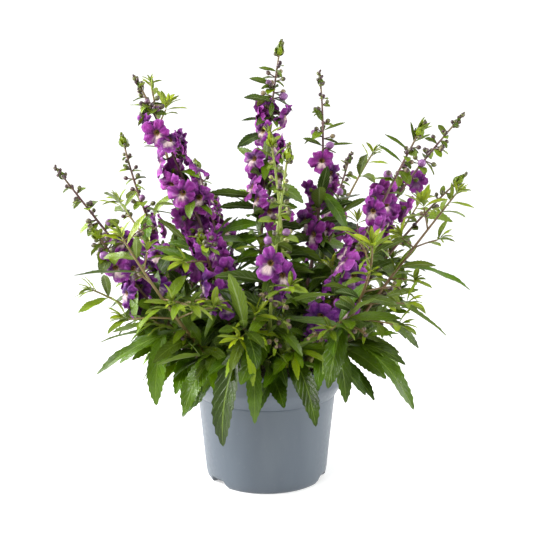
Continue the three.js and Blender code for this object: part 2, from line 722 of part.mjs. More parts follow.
stems.forEach((stem, number) => {
  if (stem.buds) return;
  for (const leaf of tuftLeaves(stem.tuft ?? TUFT.onSkirt, number)) {
    addLeaf(stem, LEAF_TRIES, (attempt) => layLeaf(stem, leaf, attempt));
  }
});

addNode("pot", pot, potGrey);
addNode("soil", soil, soilBrown);
for (const stem of stems) {
  const green = stem.node.startsWith("shoot") ? youngGreen : leafGreen;
  addNode(stem.node, mainBody(join(stem.parts)), green);
  if (stem.blooming) addNode("blooms_" + stem.name, stem.blooming, petalViolet);
}

export default plant;
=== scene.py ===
import math

import bmesh
import bpy
from mathutils import Matrix, Vector, kdtree, noise


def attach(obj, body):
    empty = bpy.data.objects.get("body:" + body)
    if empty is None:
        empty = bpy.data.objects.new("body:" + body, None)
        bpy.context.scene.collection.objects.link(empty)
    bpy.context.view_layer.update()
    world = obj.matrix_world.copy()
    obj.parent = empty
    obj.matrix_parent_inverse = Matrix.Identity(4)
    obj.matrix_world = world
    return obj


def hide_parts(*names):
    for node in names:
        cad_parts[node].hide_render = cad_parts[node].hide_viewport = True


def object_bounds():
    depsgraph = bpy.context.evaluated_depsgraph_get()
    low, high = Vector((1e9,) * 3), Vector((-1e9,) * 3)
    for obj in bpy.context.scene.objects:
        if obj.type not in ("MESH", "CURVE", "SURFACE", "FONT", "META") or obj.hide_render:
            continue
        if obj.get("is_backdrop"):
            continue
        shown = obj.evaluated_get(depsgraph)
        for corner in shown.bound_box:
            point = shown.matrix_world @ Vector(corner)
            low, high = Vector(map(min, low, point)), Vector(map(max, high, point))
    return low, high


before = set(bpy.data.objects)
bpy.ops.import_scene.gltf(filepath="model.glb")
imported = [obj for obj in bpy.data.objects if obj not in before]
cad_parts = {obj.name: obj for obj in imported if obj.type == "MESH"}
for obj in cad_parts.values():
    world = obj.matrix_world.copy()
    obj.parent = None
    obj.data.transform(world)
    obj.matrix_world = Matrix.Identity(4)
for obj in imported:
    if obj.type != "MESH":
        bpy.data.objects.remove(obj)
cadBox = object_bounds()

# Lengths in this file are millimetres, and turn to metres only where a mesh is laid
mm = 0.001
degree = math.pi / 180
upwards = Vector((0, 0, 1))
frontwards = Vector((0, -1, 0))


def addObject(name, data):
    made = bpy.data.objects.new(name, data)
    bpy.context.scene.collection.objects.link(made)
    return made


def meshFrom(name, bm, materials=()):
    mesh = bpy.data.meshes.new(name)
    bm.to_mesh(mesh)
    bm.free()
    for material in materials:
        mesh.materials.append(material)
    return mesh


# Camera: far enough away that the pot's rim reads as a shallow ellipse
view = {"place": (0, -650, 252.5), "tiltDown": 7.83, "lens": 58.18, "sensor": 36}
camera = addObject("camera", bpy.data.cameras.new("camera"))
camera.data.lens = view["lens"]
camera.data.sensor_width = view["sensor"]
camera.location = Vector(view["place"]) * mm
camera.rotation_euler = ((90 - view["tiltDown"]) * degree, 0, 0)
bpy.context.scene.camera = camera

# Light: a pale room inside a lit backdrop, a soft box in front and above, a large one to the left, a
# weaker one to the right and one overhead
light = {
    "ceiling": 0.28, "room": 0.36, "back": 1.15, "floor": 0.5, "radius": 980, "height": 1500,
    "aimHeight": 150,
    "boxes": [
        {"name": "key", "place": (-420, -700, 860), "size": 360, "power": 7.5},
        {"name": "left", "place": (-740, 40, 440), "size": 600, "power": 17.5},
        {"name": "right", "place": (820, -160, 330), "size": 500, "power": 7.5},
        {"name": "overhead", "place": (0, 60, 1000), "size": 700, "power": 4},
    ],
}
world = bpy.data.worlds.new("room")
world.use_nodes = True
world.node_tree.nodes["Background"].inputs["Color"].default_value = (1, 1, 1, 1)
world.node_tree.nodes["Background"].inputs["Strength"].default_value = light["ceiling"]
bpy.context.scene.world = world
for box in light["boxes"]:
    lamp = addObject(box["name"], bpy.data.lights.new(box["name"], "AREA"))
    lamp.data.size = box["size"] * mm
    lamp.data.energy = box["power"]
    lamp.location = Vector(box["place"]) * mm
    aim = Vector((0, 0, light["aimHeight"])) * mm - lamp.location
    lamp.rotation_euler = aim.to_track_quat("-Z", "Y").to_euler()
bpy.context.scene.view_settings.view_transform = "Standard"
print("camera and lights set")


# Materials
def colour(text):
    parts = [int(text[i:i + 2], 16) / 255 for i in (1, 3, 5)]
    linear = [c / 12.92 if c <= 0.04045 else ((c + 0.055) / 1.055) ** 2.4 for c in parts]
    return (*linear, 1)


def perMm(size):
    return 1 / (size * mm)


# Kinds of node: the type, the inputs that the values go to in turn, the output and the settings
kinds = {
    "place": ("TexCoord", (), "Object", {}),
    "fact": ("Attribute", (), "Fac", {}),
    "blade": ("UVMap", (), "UV", {"uv_map": "blade"}),
    "x": ("SeparateXYZ", (0,), "X", {}),
    "y": ("SeparateXYZ", (0,), "Y", {}),
    "z": ("SeparateXYZ", (0,), "Z", {}),
    "scaled": ("Mapping", ("Vector", "Scale"), 0, {}),
    "noise": ("TexNoise", ("Vector", "Scale", "Detail"), 0, {}),
    "times": ("Math", (0, 1), 0, {"operation": "MULTIPLY"}),
    "timesPlus": ("Math", (0, 1, 2), 0, {"operation": "MULTIPLY_ADD"}),
    "larger": ("Math", (0, 1), 0, {"operation": "MAXIMUM"}),
    "unsigned": ("Math", (0,), 0, {"operation": "ABSOLUTE"}),
    "toAndFro": ("Math", (0, 1), 0, {"operation": "PINGPONG"}),
    "even": ("MapRange", (0, 1, 2, 3, 4), 0, {}),
    "ramp": ("MapRange", (0, 1, 2, 3, 4), 0, {"interpolation_type": "SMOOTHSTEP"}),
    "mix": ("Mix", (0, 6, 7), 2, {"data_type": "RGBA"}),
    "bump": ("Bump", ("Height", "Strength", "Distance"), 0, {}),
}


# Starts a material: add makes a node of a kind, with its settings and links, and gives its output, and
# shade fills the inputs of the shader. A text stands for a colour.
def newMaterial(name):
    material = bpy.data.materials.new(name)
    material.use_nodes = True
    tree = material.node_tree

    def fill(node, values):
        for key, value in values.items():
            if isinstance(value, bpy.types.NodeSocket):
                tree.links.new(value, node.inputs[key])
            else:
                node.inputs[key].default_value = colour(value) if isinstance(value, str) else value

    def add(kind, *values, **settings):
        shape, places, out, usual = kinds[kind]
        node = tree.nodes.new("ShaderNode" + shape)
        for key, value in {**usual, **settings}.items():
            setattr(node, key, value)
        fill(node, dict(zip(places, values)))
        return node.outputs[out]

    def shade(values):
        fill(tree.nodes["Principled BSDF"], values)
        return material

    return add, shade


# A leaf blade: waxy green, paler along the midrib, with side veins that run towards the tip
def bladeMaterial(name, look):
    add, shade = newMaterial(name)
    place, blade = add("place"), add("blade")
    tone, age = [add("fact", attribute_name=fact) for fact in ("tone", "age")]
    across = add("unsigned", add("timesPlus", add("y", blade), 2, -1))
    rib = add("ramp", across, look["rib"] * 0.35, look["rib"], 1, 0)
    run = add("times", add("x", blade), look["veins"])
    run = add("toAndFro", add("timesPlus", across, -look["veinSlant"], run), 0.5)
    vein = add("ramp", run, 0.02, 0.16, 1, 0)
    mottle = add("noise", place, perMm(look["mottle"]), 5)
    share = add("timesPlus", mottle, 0.8, add("timesPlus", tone, 0.5, 0.1))
    share = add("ramp", share)
    old = add("mix", share, look["deep"], look["fresh"])
    new = add("mix", share, look["youngDeep"], look["young"])
    skin = add("mix", age, old, new)
    skin = add("mix", add("times", vein, look["veinShow"]), skin, look["veinColour"])
    skin = add("mix", add("times", rib, look["ribShow"]), skin, look["ribColour"])
    grain = add("noise", place, perMm(look["grain"]), 2)
    height = add("timesPlus", vein, look["relief"], grain)
    height = add("timesPlus", rib, look["relief"], height)
    return shade({"Base Color": skin, "Roughness": look["roughness"], "Specular IOR Level": look["gloss"],
                  "Normal": add("bump", height, 0.7, 0.5 * mm)})


# Upper face of a leaf: thin wax over green flesh, which gives a soft gloss
leafUpper = bladeMaterial("leafWaxUpper", {
    "deep": "#1a2a03", "fresh": "#4c6e02", "youngDeep": "#697e04", "young": "#98a60c",
    "ribColour": "#7c9634", "veinColour": "#557620", "rib": 0.1, "ribShow": 0.34, "grain": 1.6,
    "veins": 9.0, "veinSlant": 2.2, "veinShow": 0.16, "mottle": 9, "relief": -0.4, "roughness": 0.3,
    "gloss": 0.28,
})
# Under face of a leaf: dull and greyer, with the rib and veins standing out
leafUnder = bladeMaterial("leafFleshUnder", {
    "deep": "#364a12", "fresh": "#566e1e", "youngDeep": "#6e8012", "young": "#96a41e",
    "ribColour": "#8b9a66", "veinColour": "#6c7d50", "rib": 0.15, "ribShow": 0.55, "grain": 1.6,
    "veins": 9.0, "veinSlant": 2.2, "veinShow": 0.4, "mottle": 9, "relief": 0.6, "roughness": 0.55,
    "gloss": 0.22,
})


# Stem bark: the colour changes from foot to tip, with fine lengthwise streaks
def stemMaterial(name, look):
    add, shade = newMaterial(name)
    rise, tint = [add("fact", attribute_name=fact) for fact in ("rise", "tint")]
    drawn = add("scaled", add("place"), (1, 1, look["drawn"]))
    streak = add("noise", drawn, perMm(look["streaks"]), 3)
    high = add("mix", add("ramp", tint, 0, 0.5), look["purple"], look["straw"])
    high = add("mix", add("ramp", tint, 0.5), high, look["green"])
    skin = add("mix", add("ramp", rise, 0, 0.35), look["foot"], high)
    skin = add("mix", add("ramp", rise, 0.86), skin, look["tip"])
    skin = add("mix", add("ramp", streak, 0.5, 0.8, 0, 0.3), skin, look["streak"])
    return shade({"Base Color": skin, "Roughness": look["roughness"],
                  "Normal": add("bump", streak, 0.5, 0.2 * mm)})


stemSkin = stemMaterial("stemBark", {
    "foot": "#62642a", "purple": "#4d2b2d", "straw": "#6b5530", "green": "#7f8f38", "tip": "#665c30",
    "streak": "#8a7c58", "streaks": 1.2, "drawn": 0.15, "roughness": 0.5,
})


# Bud skin: smooth and a little waxy, dark purple-brown over green with a darker cap, creamy green when
# very young, tan where it dries and lilac where a bud is about to open
def budMaterial(name, look):
    add, shade = newMaterial(name)
    patch = add("noise", add("place"), perMm(look["patches"]), 2)
    tone, age, reach = [add("fact", attribute_name=fact) for fact in ("tone", "age", "reach")]
    share = add("ramp", add("timesPlus", tone, 0.22, patch), 0.3, 0.54)
    skin = add("mix", share, look["green"], look["purple"])
    share = add("ramp", add("timesPlus", patch, 0.9, tone), 0.75, 1.5, 0, 0.75)
    skin = add("mix", share, skin, look["tan"])
    skin = add("mix", add("ramp", tone, -1.1, -1.8, 0, 0.85), skin, look["cream"])
    share = add("ramp", add("timesPlus", patch, 0.8, reach), 0.95, 1.25, 0, 0.85)
    skin = add("mix", share, skin, look["cap"])
    skin = add("mix", age, skin, look["lilac"])
    return shade({"Base Color": skin, "Roughness": look["roughness"],
                  "Normal": add("bump", patch, 0.4, 0.3 * mm)})


budSkin = budMaterial("budSkin", {
    "green": "#5f6430", "purple": "#432530", "lilac": "#84508c", "tan": "#93845c", "cream": "#a3a45e",
    "cap": "#2f1a24", "patches": 2.2, "roughness": 0.42,
})


# Petals: velvety cells that scatter light sideways; the glow this gives the edges is painted into the colour
# as a painted highlight, a paler lilac on the crinkles and at the rim.
# The throat is yellow-green with brown freckles over a pale patch on the lower lip.
def petalMaterial(name, look):
    add, shade = newMaterial(name)
    place = add("place")
    facts = ("reach", "lip", "tone", "streak", "fold")
    reach, lip, tone, streak, fold = [add("fact", attribute_name=fact) for fact in facts]
    cloud = add("noise", place, perMm(look["clouds"]), 4)
    crinkle = add("noise", place, perMm(look["crinkles"]), 2)
    # violet from the throat to the edge, in clouds, and a painted shade, darker and bluer, low in the plant
    share = add("timesPlus", cloud, 1.1, add("ramp", reach, 0.3, 1, -0.45, 0.55))
    share = add("ramp", add("timesPlus", tone, 0.35, share), 0.1, 1.15)
    skin = add("mix", share, look["deep"], look["bright"])
    share = add("ramp", add("timesPlus", tone, 0.25, cloud), 0.3, 0.75, 0, 0.4)
    skin = add("mix", share, skin, look["warm"])
    # painted shade: blooms low in the plant turn a darker, bluer violet
    low = add("ramp", add("z", place), 0.12, 0.2, 0.6, 0)
    skin = add("mix", low, skin, look["lowShade"])
    # painted highlight: paler lilac on the crinkles towards the edge and along the rim
    share = add("ramp", reach, 0.45, 1, 0, look["edgeHighlight"])
    share = add("times", share, add("ramp", crinkle, 0.48, 0.7))
    share = add("larger", share, add("ramp", reach, 0.86, 1, 0, look["edgeHighlight"]))
    skin = add("mix", share, skin, look["edge"])
    # pale patch on the lower lip, broken up by the clouds, with darker lines through it
    patch = add("ramp", lip, 0.25, 0.9, 0, look["patch"])
    patch = add("times", patch, add("ramp", reach, 0.2, 0.34))
    spread = add("ramp", add("timesPlus", cloud, 0.9, reach), 0.85, 1.3, 1, 0)
    skin = add("mix", add("times", patch, spread), skin, look["pale"])
    share = add("times", streak, add("ramp", reach, 0.3, 0.9, 0.5, 0))
    skin = add("mix", share, skin, look["deep"])
    # shade in the seams between the lobes and under the upper lip
    seam = add("ramp", fold, 0.55, 1, 0, look["shade"])
    seam = add("times", seam, add("ramp", reach, 0.2, 0.5))
    hollow = add("ramp", lip, 0, 0.2, look["shade"], 0)
    hollow = add("times", hollow, add("ramp", reach, 0.24, 0.55, 1, 0))
    skin = add("mix", add("larger", seam, hollow), skin, look["dark"])
    # throat: gold with brown freckles
    freckle = add("ramp", add("noise", place, perMm(look["freckles"]), 2), 0.48, 0.58)
    gold = add("mix", freckle, look["gold"], look["freckle"])
    skin = add("mix", add("ramp", reach, 0.22, 0.46, look["patch"], 0), skin, gold)
    height = add("timesPlus", crinkle, 0.6, cloud)
    return shade({"Base Color": skin, "Roughness": 0.55, "Specular IOR Level": 0.18, "Sheen Weight": 0.03,
                  "Sheen Roughness": 0.4, "Sheen Tint": "#d79be6",
                  "Normal": add("bump", height, 0.55, 0.9 * mm)})


petalFace = petalMaterial("petalVelvetFace", {
    "deep": "#390c44", "bright": "#7d2281", "warm": "#83226c", "lowShade": "#3f186a", "edge": "#ab66b2",
    "edgeHighlight": 0.42, "pale": "#e2cbc4", "patch": 0.9, "gold": "#94783a", "freckle": "#3d1c1c",
    "dark": "#240831", "shade": 0.7, "clouds": 5, "crinkles": 1.8, "freckles": 0.7,
})
petalBack = petalMaterial("petalVelvetBack", {
    "deep": "#4b1053", "bright": "#862d89", "warm": "#8b3474", "lowShade": "#4b2475", "edge": "#a069ac",
    "edgeHighlight": 0.32, "pale": "#a57f9f", "patch": 0.4, "gold": "#8c7090", "freckle": "#76527c",
    "dark": "#34103e", "shade": 0.3, "clouds": 5, "crinkles": 1.8, "freckles": 0.7,
})


# Pot: grey polypropylene, thermoformed, with a satin skin, faint flow streaks and specks of dust
def potMaterial(name, look):
    add, shade = newMaterial(name)
    place = add("place")
    streak = add("noise", add("scaled", place, (1, 1, look["drawn"])), perMm(look["streaks"]), 4)
    dust = add("noise", place, perMm(look["specks"]), 5)
    grain = add("noise", place, perMm(look["grain"]), 2)
    skin = add("mix", add("ramp", streak, 0.3, 0.7), look["dark"], look["light"])
    skin = add("mix", add("ramp", dust, 0.6, 0.8, 0, 0.05), skin, look["dust"])
    return shade({"Base Color": skin, "Roughness": add("even", dust, 0.3, 0.7, *look["roughness"]),
                  "IOR": 1.49, "Normal": add("bump", grain, 0.25, 0.1 * mm)})


potSkin = potMaterial("pottingPolypropylene", {
    "dark": "#464f59", "light": "#505962", "dust": "#a8a59b", "streaks": 30, "drawn": 0.25, "specks": 3,
    "grain": 0.7, "roughness": (0.34, 0.46),
})


# Potting soil: dark peat fibres and crumbs, dull, with a few paler bits of bark
def soilMaterial(name, look):
    add, shade = newMaterial(name)
    place = add("place")
    crumb = add("noise", place, perMm(look["crumbs"]), 6)
    bit = add("noise", place, perMm(look["bits"]), 3)
    skin = add("mix", add("ramp", crumb, 0.35, 0.65), look["dark"], look["light"])
    skin = add("mix", add("ramp", bit, 0.66, 0.72), skin, look["bark"])
    return shade({"Base Color": skin, "Roughness": look["roughness"],
                  "Normal": add("bump", crumb, 0.9, 1.2 * mm)})


peat = soilMaterial("pottingPeat", {
    "dark": "#1d130c", "light": "#3f2c1d", "bark": "#6d553c", "crumbs": 2.5, "bits": 4, "roughness": 0.93,
})


# Matte white paint on a plate that is lit from below a little, with no gloss to speak of
def floorMaterial():
    add, shade = newMaterial("matteFloorPaint")
    nap = add("noise", add("place"), perMm(60), 3)
    return shade({"Base Color": add("mix", nap, "#cccccc", "#d1d1d1"), "Roughness": 0.9,
                  "Emission Color": "#ffffff", "Emission Strength": light["floor"]})


# A white cloth lit from behind, brightest at the back of the plant
def clothMaterial():
    add, shade = newMaterial("backdropCloth")
    glow = add("ramp", add("y", add("place")), 0.1, 0.6, light["room"], light["back"])
    return shade({"Base Color": "#000000", "Emission Color": "#ffffff", "Emission Strength": glow})


floorPaint = floorMaterial()
cloth = clothMaterial()
print("materials made")


# Floor and a backdrop that stands round it
def addStage(name, bm, place, material):
    sheet = addObject(name, meshFrom(name, bm, [material]))
    sheet.location = Vector(place) * mm
    sheet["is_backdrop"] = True


below = -0.2
bm = bmesh.new()
bmesh.ops.create_grid(bm, x_segments=1, y_segments=1, size=light["radius"] * 1.2 * mm)
addStage("floor", bm, (0, 0, below), floorPaint)
bm = bmesh.new()
bmesh.ops.create_cone(bm, cap_ends=False, segments=96, radius1=light["radius"] * mm,
                      radius2=light["radius"] * mm, depth=light["height"] * mm)
for face in bm.faces:
    face.smooth = True
addStage("backdrop", bm, (0, 0, light["height"] / 2 + below), cloth)


def addPiece(name, bm, materials, nodes):
    piece = addObject(name, meshFrom(name, bm, materials))
    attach(piece, "root")
    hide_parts(*nodes)
    return piece


# Draws: each stem and each kind of piece on it starts its own seeded run
runs = ("blooms", "buds", "pairs", "tuft", "moreLeaves", "growth", "petals", "moreBlooms")
draws = {"state": 1, "spread": 2654435761, "factor": 1664525, "step": 1013904223, "range": 2 ** 32}


def startDraws(number):
    draws["state"] = (number + 1) * draws["spread"] % draws["range"]
    for _ in range(3):
        draw()


def startRun(number, kind):
    startDraws(number * 10 + runs.index(kind) + 1)


def draw():
    draws["state"] = (draws["state"] * draws["factor"] + draws["step"]) % draws["range"]
    return draws["state"] / draws["range"]


def between(low, high):
    return low + (high - low) * draw()


# From one direction towards another that stands square to it
def swing(one, other, angle):
    return one * math.cos(angle) + other * math.sin(angle)


def vertsOf(parts):
    return [part for part in parts if isinstance(part, bmesh.types.BMVert)]


# Stems: foot on the soil, a point half way and the tip. blooms is from, to and count along the stem,
# full is the share of the gaps between them that younger blooms fill, low is where a few more start,
# buds is from and count, leaves is from, to, pairs and the longest leaf. tint is 0 for a purple-brown
# stem, 0.5 for a straw-coloured one and 1 for a yellow-green one. A dark head is nearly all buds and a
# leafy one ends in narrow leaves of that length. Above bare, a stem has no leaves but its pairs.
soil = {"top": 80, "stemDepth": 9}
racemes = [
    {"name": "01", "foot": (-30, -4), "middle": (-94, -16, 159), "tip": (-152, -26, 239),
     "blooms": (0.36, 0.64, 8), "buds": (0.66, 8), "leaves": (0.2, 0.42, 2, 46), "tint": 0,
     "dark": True},
    {"name": "02", "foot": (-24, 9), "middle": (-81, 20, 170), "tip": (-112, 24, 263),
     "blooms": (0.43, 0.62, 6), "buds": (0.67, 8), "leaves": (0.22, 0.44, 2, 50), "tint": 0.15},
    {"name": "03", "foot": (-18, -12), "middle": (-46, -20, 190), "tip": (-93, -30, 303),
     "blooms": (0.42, 0.86, 15), "buds": (0.88, 5), "leaves": (0.22, 0.42, 2, 52), "tint": 0,
     "full": 0.9, "dark": True},
    {"name": "04", "foot": (-4, 12), "middle": (-3, 14, 205), "tip": (11, 12, 332),
     "blooms": (0.5, 0.8, 10), "buds": (0.83, 6), "leaves": (0.18, 0.48, 3, 54), "tint": 0.1,
     "full": 0.8},
    {"name": "05", "foot": (12, 10), "middle": (40, 22, 195), "tip": (41, 30, 311),
     "blooms": (0.46, 0.7, 7), "buds": (0.74, 7), "leaves": (0.18, 0.46, 3, 54), "tint": 0.1,
     "full": 0.3, "dark": True},
    {"name": "06", "foot": (26, 4), "middle": (74, 2, 178), "tip": (147, 0, 278),
     "blooms": (0.46, 0.76, 9), "buds": (0.8, 6), "leaves": (0.24, 0.44, 2, 52), "tint": 0,
     "dark": True},
    {"name": "07", "foot": (20, -15), "middle": (60, -38, 168), "tip": (111, -38, 271),
     "blooms": (0.38, 0.76, 12), "buds": (0.8, 5), "leaves": (0.2, 0.38, 2, 50), "tint": 0.1,
     "low": 0.24, "leafy": 17},
    {"name": "08", "foot": (36, 8), "middle": (84, 16, 155), "tip": (155, 22, 233),
     "blooms": None, "buds": (0.62, 8), "leaves": (0.18, 0.56, 3, 46), "tint": 0.2},
    {"name": "09", "foot": (2, -38), "middle": (4, -72, 160), "tip": (15, -86, 255),
     "blooms": (0.46, 0.6, 4), "buds": (0.64, 8), "leaves": (0.14, 0.34, 1, 44), "tint": 1,
     "full": 0, "bare": 0.4},
    {"name": "10", "foot": (-10, -22), "middle": (-30, -44, 138), "tip": (-46, -62, 196),
     "blooms": (0.5, 0.84, 6), "buds": (0.88, 4), "leaves": (0.18, 0.42, 2, 50), "tint": 0.3,
     "full": 0.2},
    {"name": "11", "foot": (-14, 22), "middle": (-38, 60, 168), "tip": (-60, 84, 242),
     "blooms": (0.45, 0.7, 6), "buds": (0.74, 5), "leaves": (0.22, 0.42, 2, 54), "tint": 0.1},
    {"name": "12", "foot": (4, 28), "middle": (8, 76, 160), "tip": (14, 116, 232),
     "blooms": (0.44, 0.7, 6), "buds": (0.74, 5), "leaves": (0.22, 0.42, 2, 54), "tint": 0.1},
    {"name": "13", "foot": (18, 22), "middle": (48, 66, 172), "tip": (72, 88, 248),
     "blooms": (0.46, 0.67, 6), "buds": (0.74, 5), "leaves": (0.22, 0.42, 2, 54), "tint": 0,
     "dark": True},
    {"name": "14", "foot": (-30, -15), "middle": (-79, -46, 139), "tip": (-120, -60, 198),
     "blooms": (0.56, 0.78, 5), "buds": (0.84, 4), "leaves": (0.2, 0.5, 2, 42), "tint": 0.2},
]
shoots = [
    {"name": "01", "foot": (-21, -24), "middle": (-61, -72, 137), "tip": (-95, -88, 195),
     "leaves": (0.3, 0.86, 3, 34), "tuft": 24, "tint": 0.6},
    {"name": "02", "foot": (34, -10), "middle": (84, -24, 148), "tip": (137, -30, 221),
     "leaves": (0.3, 0.9, 3, 28), "tuft": 18, "tint": 0.35},
    {"name": "03", "foot": (24, 18), "middle": (45, 34, 165), "tip": (85, 42, 249),
     "leaves": (0.3, 0.88, 3, 38), "tuft": 18, "tint": 0.6},
    {"name": "04", "foot": (22, -27), "middle": (60, -66, 140), "tip": (69, -90, 189),
     "leaves": (0.3, 0.9, 3, 34), "tuft": 24, "tint": 0.5},
    {"name": "05", "foot": (-32, 0), "middle": (-84, -20, 122), "tip": (-127, -30, 150),
     "leaves": (0.3, 0.86, 3, 34), "tuft": 20, "tint": 0.7},
    {"name": "06", "foot": (-26, -2), "middle": (-62, 0, 196), "tip": (-86, 0, 301),
     "leaves": (0.25, 0.9, 3, 26), "tuft": 15, "tint": 0.6},
    {"name": "07", "foot": (10, -14), "middle": (12, -36, 170), "tip": (2, -47, 264),
     "leaves": (0.25, 0.9, 3, 18), "tuft": 13, "tint": 1,
     "bare": 0.35},
    {"name": "08", "foot": (28, 16), "middle": (86, 54, 146), "tip": (128, 70, 208),
     "leaves": (0.25, 0.9, 3, 46), "tuft": 26, "tint": 0.6},
    {"name": "09", "foot": (-32, 18), "middle": (-80, 50, 148), "tip": (-122, 66, 208),
     "leaves": (0.25, 0.9, 3, 46), "tuft": 26, "tint": 0.6},
]
# Short shoots at the pot's edge, by compass: 0 is the front and degrees run towards +X
skirt = {
    "feet": 42, "reach": (78, 94), "top": (112, 134), "spread": 6, "leaves": (0.46, 0.86, 2, 50),
    "higher": 5, "nearer": 4, "tint": 0.7, "firstDraw": 900,
    "degrees": (-92, -54, -30, -9, 15, 36, 60, 92, 136, 162, 188, 226),
}
# Leaves set one by one, by their stem: how far up it, the tip, half the width and the arch
placedLeaves = {
    "skirt_04": [(0.84, (-29, -96, 55), 7.8, 40), (0.66, (-8, -88, 68), 4.8, 50)],
    "raceme_09": [(0.3, (-24, -102, 99), 7.4, 30), (0.36, (54, -90, 134), 3.6, 20),
        (0.4, (34, -92, 161), 4, 25), (0.42, (-38, -84, 158), 4.6, 20)],
    "skirt_03": [(0.7, (-34, -92, 90), 6.8, 45), (0.9, (-56, -84, 74), 6.4, 50)],
    "skirt_02": [(0.86, (-77, -66, 74), 5.8, 50), (0.7, (-103, -62, 103), 5, 40)],
    "skirt_01": [(0.9, (-120, -46, 114), 4.6, 35)],
    "shoot_01": [(0.44, (-114, -88, 102), 4.6, 30), (0.78, (-129, -80, 168), 2.4, 14)],
    "skirt_05": [(0.8, (33, -94, 68), 5.8, 45)],
    "skirt_06": [(0.74, (54, -80, 80), 5.2, 45), (0.95, (40, -104, 97), 6.4, 24)],
    "skirt_07": [(0.84, (104, -60, 69), 6.2, 40), (0.7, (96, -70, 104), 4.6, 40)],
    "shoot_04": [(0.62, (124, -70, 124), 3, 40)],
    "shoot_02": [(0.62, (148, -34, 150), 3, 45)],
    "raceme_10": [(0.4, (-62, -62, 150), 5.4, 30)],
}
# Finer leaves that only the looks have: how far up the stem, tip, half width, arch and age
addedLeaves = {
    "raceme_05": [(0.57, (46, 2, 239), 4.2, 12, 0), (0.6, (61, -4, 191), 4.6, 30, 0),
        (0.5, (25, 2, 195), 3, 20, 0), (0.5, (60, 2, 198), 3.2, 20, 0), (0.44, (16, 0, 181), 5, 20, 0),
        (0.44, (54, 0, 167), 4.2, 25, 0), (0.75, (67, 24, 256), 1.3, 10, 0.1),
        (0.83, (37, 24, 283), 2.2, 20, 0.3), (0.75, (28, 20, 260), 2, 20, 0.1),
        (0.8, (61, 24, 272), 1.4, 15, 0.2), (0.52, (66, 10, 212), 4, 22, 0)],
    "raceme_09": [(0.5, (-34, -92, 169), 5.2, 25, 0.05), (0.38, (-29, -95, 161), 3.8, 30, 0),
        (0.36, (-22, -92, 146), 4, 35, 0), (0.28, (-24, -98, 100), 5.6, 25, 0.15),
        (0.25, (14, -88, 93), 3.8, 35, 0), (0.22, (14, -95, 111), 1.8, 30, 0.4)],
    "raceme_10": [(0.56, (-53, -84, 137), 5.5, 35, 0.1), (0.36, (-30, -90, 92), 6, 35, 0.05)],
    "shoot_04": [(0.6, (45, -92, 159), 3, 25, 0), (0.5, (45, -90, 151), 4, 25, 0)],
    "raceme_07": [(0.9, (83, -38, 262), 1.6, 20, 0.2), (0.86, (78, -38, 255), 1.5, 15, 0.1),
        (0.93, (101, -38, 271), 1.2, 10, 0.3), (0.93, (115, -40, 262), 1.2, 14, 0.3)],
    "raceme_04": [(0.91, (-6, 8, 312), 1.6, 15, 0.2), (0.865, (-13, 6, 304), 2.4, 25, 0.1),
        (0.865, (9, 6, 298), 2, 25, 0.1), (0.82, (-17, 6, 290), 2.9, 25, 0.05),
        (0.82, (3, 4, 276), 2, 20, 0.1), (0.77, (-19, 6, 273), 1.5, 15, 0),
        (0.77, (11, 6, 273), 2.4, 20, 0), (0.73, (-22, 4, 253), 4, 25, 0),
        (0.46, (-33, 4, 190), 4.8, 25, 0), (0.42, (-27, 10, 176), 5, 30, 0),
        (0.38, (-22, 0, 166), 4.6, 30, 0.05), (0.45, (27, 20, 190), 4.8, 25, 0),
        (0.5, (24, 16, 207), 4.2, 25, 0), (0.53, (-46, 8, 218), 4.2, 22, 0),
        (0.5, (-36, 0, 208), 4, 28, 0)],
    "skirt_04": [(0.9, (-9, -96, 96), 3.2, 35, 0.45)],
    "skirt_05": [(0.5, (-8, -84, 69), 4, 60, 0), (0.9, (21, -95, 100), 3, 40, 0.45),
        (0.95, (43, -92, 109), 2.2, 45, 0.35), (0.65, (23, -84, 85), 4, 50, 0)],
    "skirt_06": [(0.6, (35, -80, 88), 4.5, 50, 0)],
    "skirt_03": [(0.6, (-44, -74, 86), 3.5, 50, 0.1)],
    "shoot_03": [(0.7, (79, 30, 213), 3.2, 25, 0.1)],
    "raceme_06": [(0.42, (112, -6, 188), 3.6, 18, 0.25), (0.35, (100, -8, 170), 4.4, 25, 0)],
    "shoot_06": [(0.42, (-82, -4, 200), 3.4, 20, 0.3)],
    "raceme_02": [(0.4, (-70, 0, 190), 4.2, 25, 0.1), (0.66, (-92, 6, 181), 4.6, 30, 0),
        (0.3, (-74, -4, 160), 5.4, 35, 0), (0.28, (-90, -6, 150), 5, 35, 0)],
    "skirt_07": [(0.6, (84, -62, 92), 6, 35, 0.05)],
    "raceme_03": [(0.36, (-86, -6, 180), 4, 20, 0)],
    "raceme_14": [(0.42, (-72, -40, 150), 4.4, 30, 0.05)],
}
# Younger blooms set one by one: how far up the stem, which way they look (0 is the front), size and reach
addedBlooms = {
    "raceme_04": [(0.785, -90, 0.9, 1.3), (0.775, 85, 0.75, 1.3), (0.69, -95, 0.9, 1.3),
        (0.6, -90, 0.85, 1.3)],
    "raceme_03": [(0.78, -95, 0.85, 1.3), (0.7, -85, 0.95, 1.3), (0.6, -90, 0.9, 1.3)],
    "raceme_07": [(0.38, -20, 0.95, 2.2), (0.33, 20, 1, 2), (0.29, -30, 0.95, 2.2), (0.25, 10, 0.9, 2)],
}
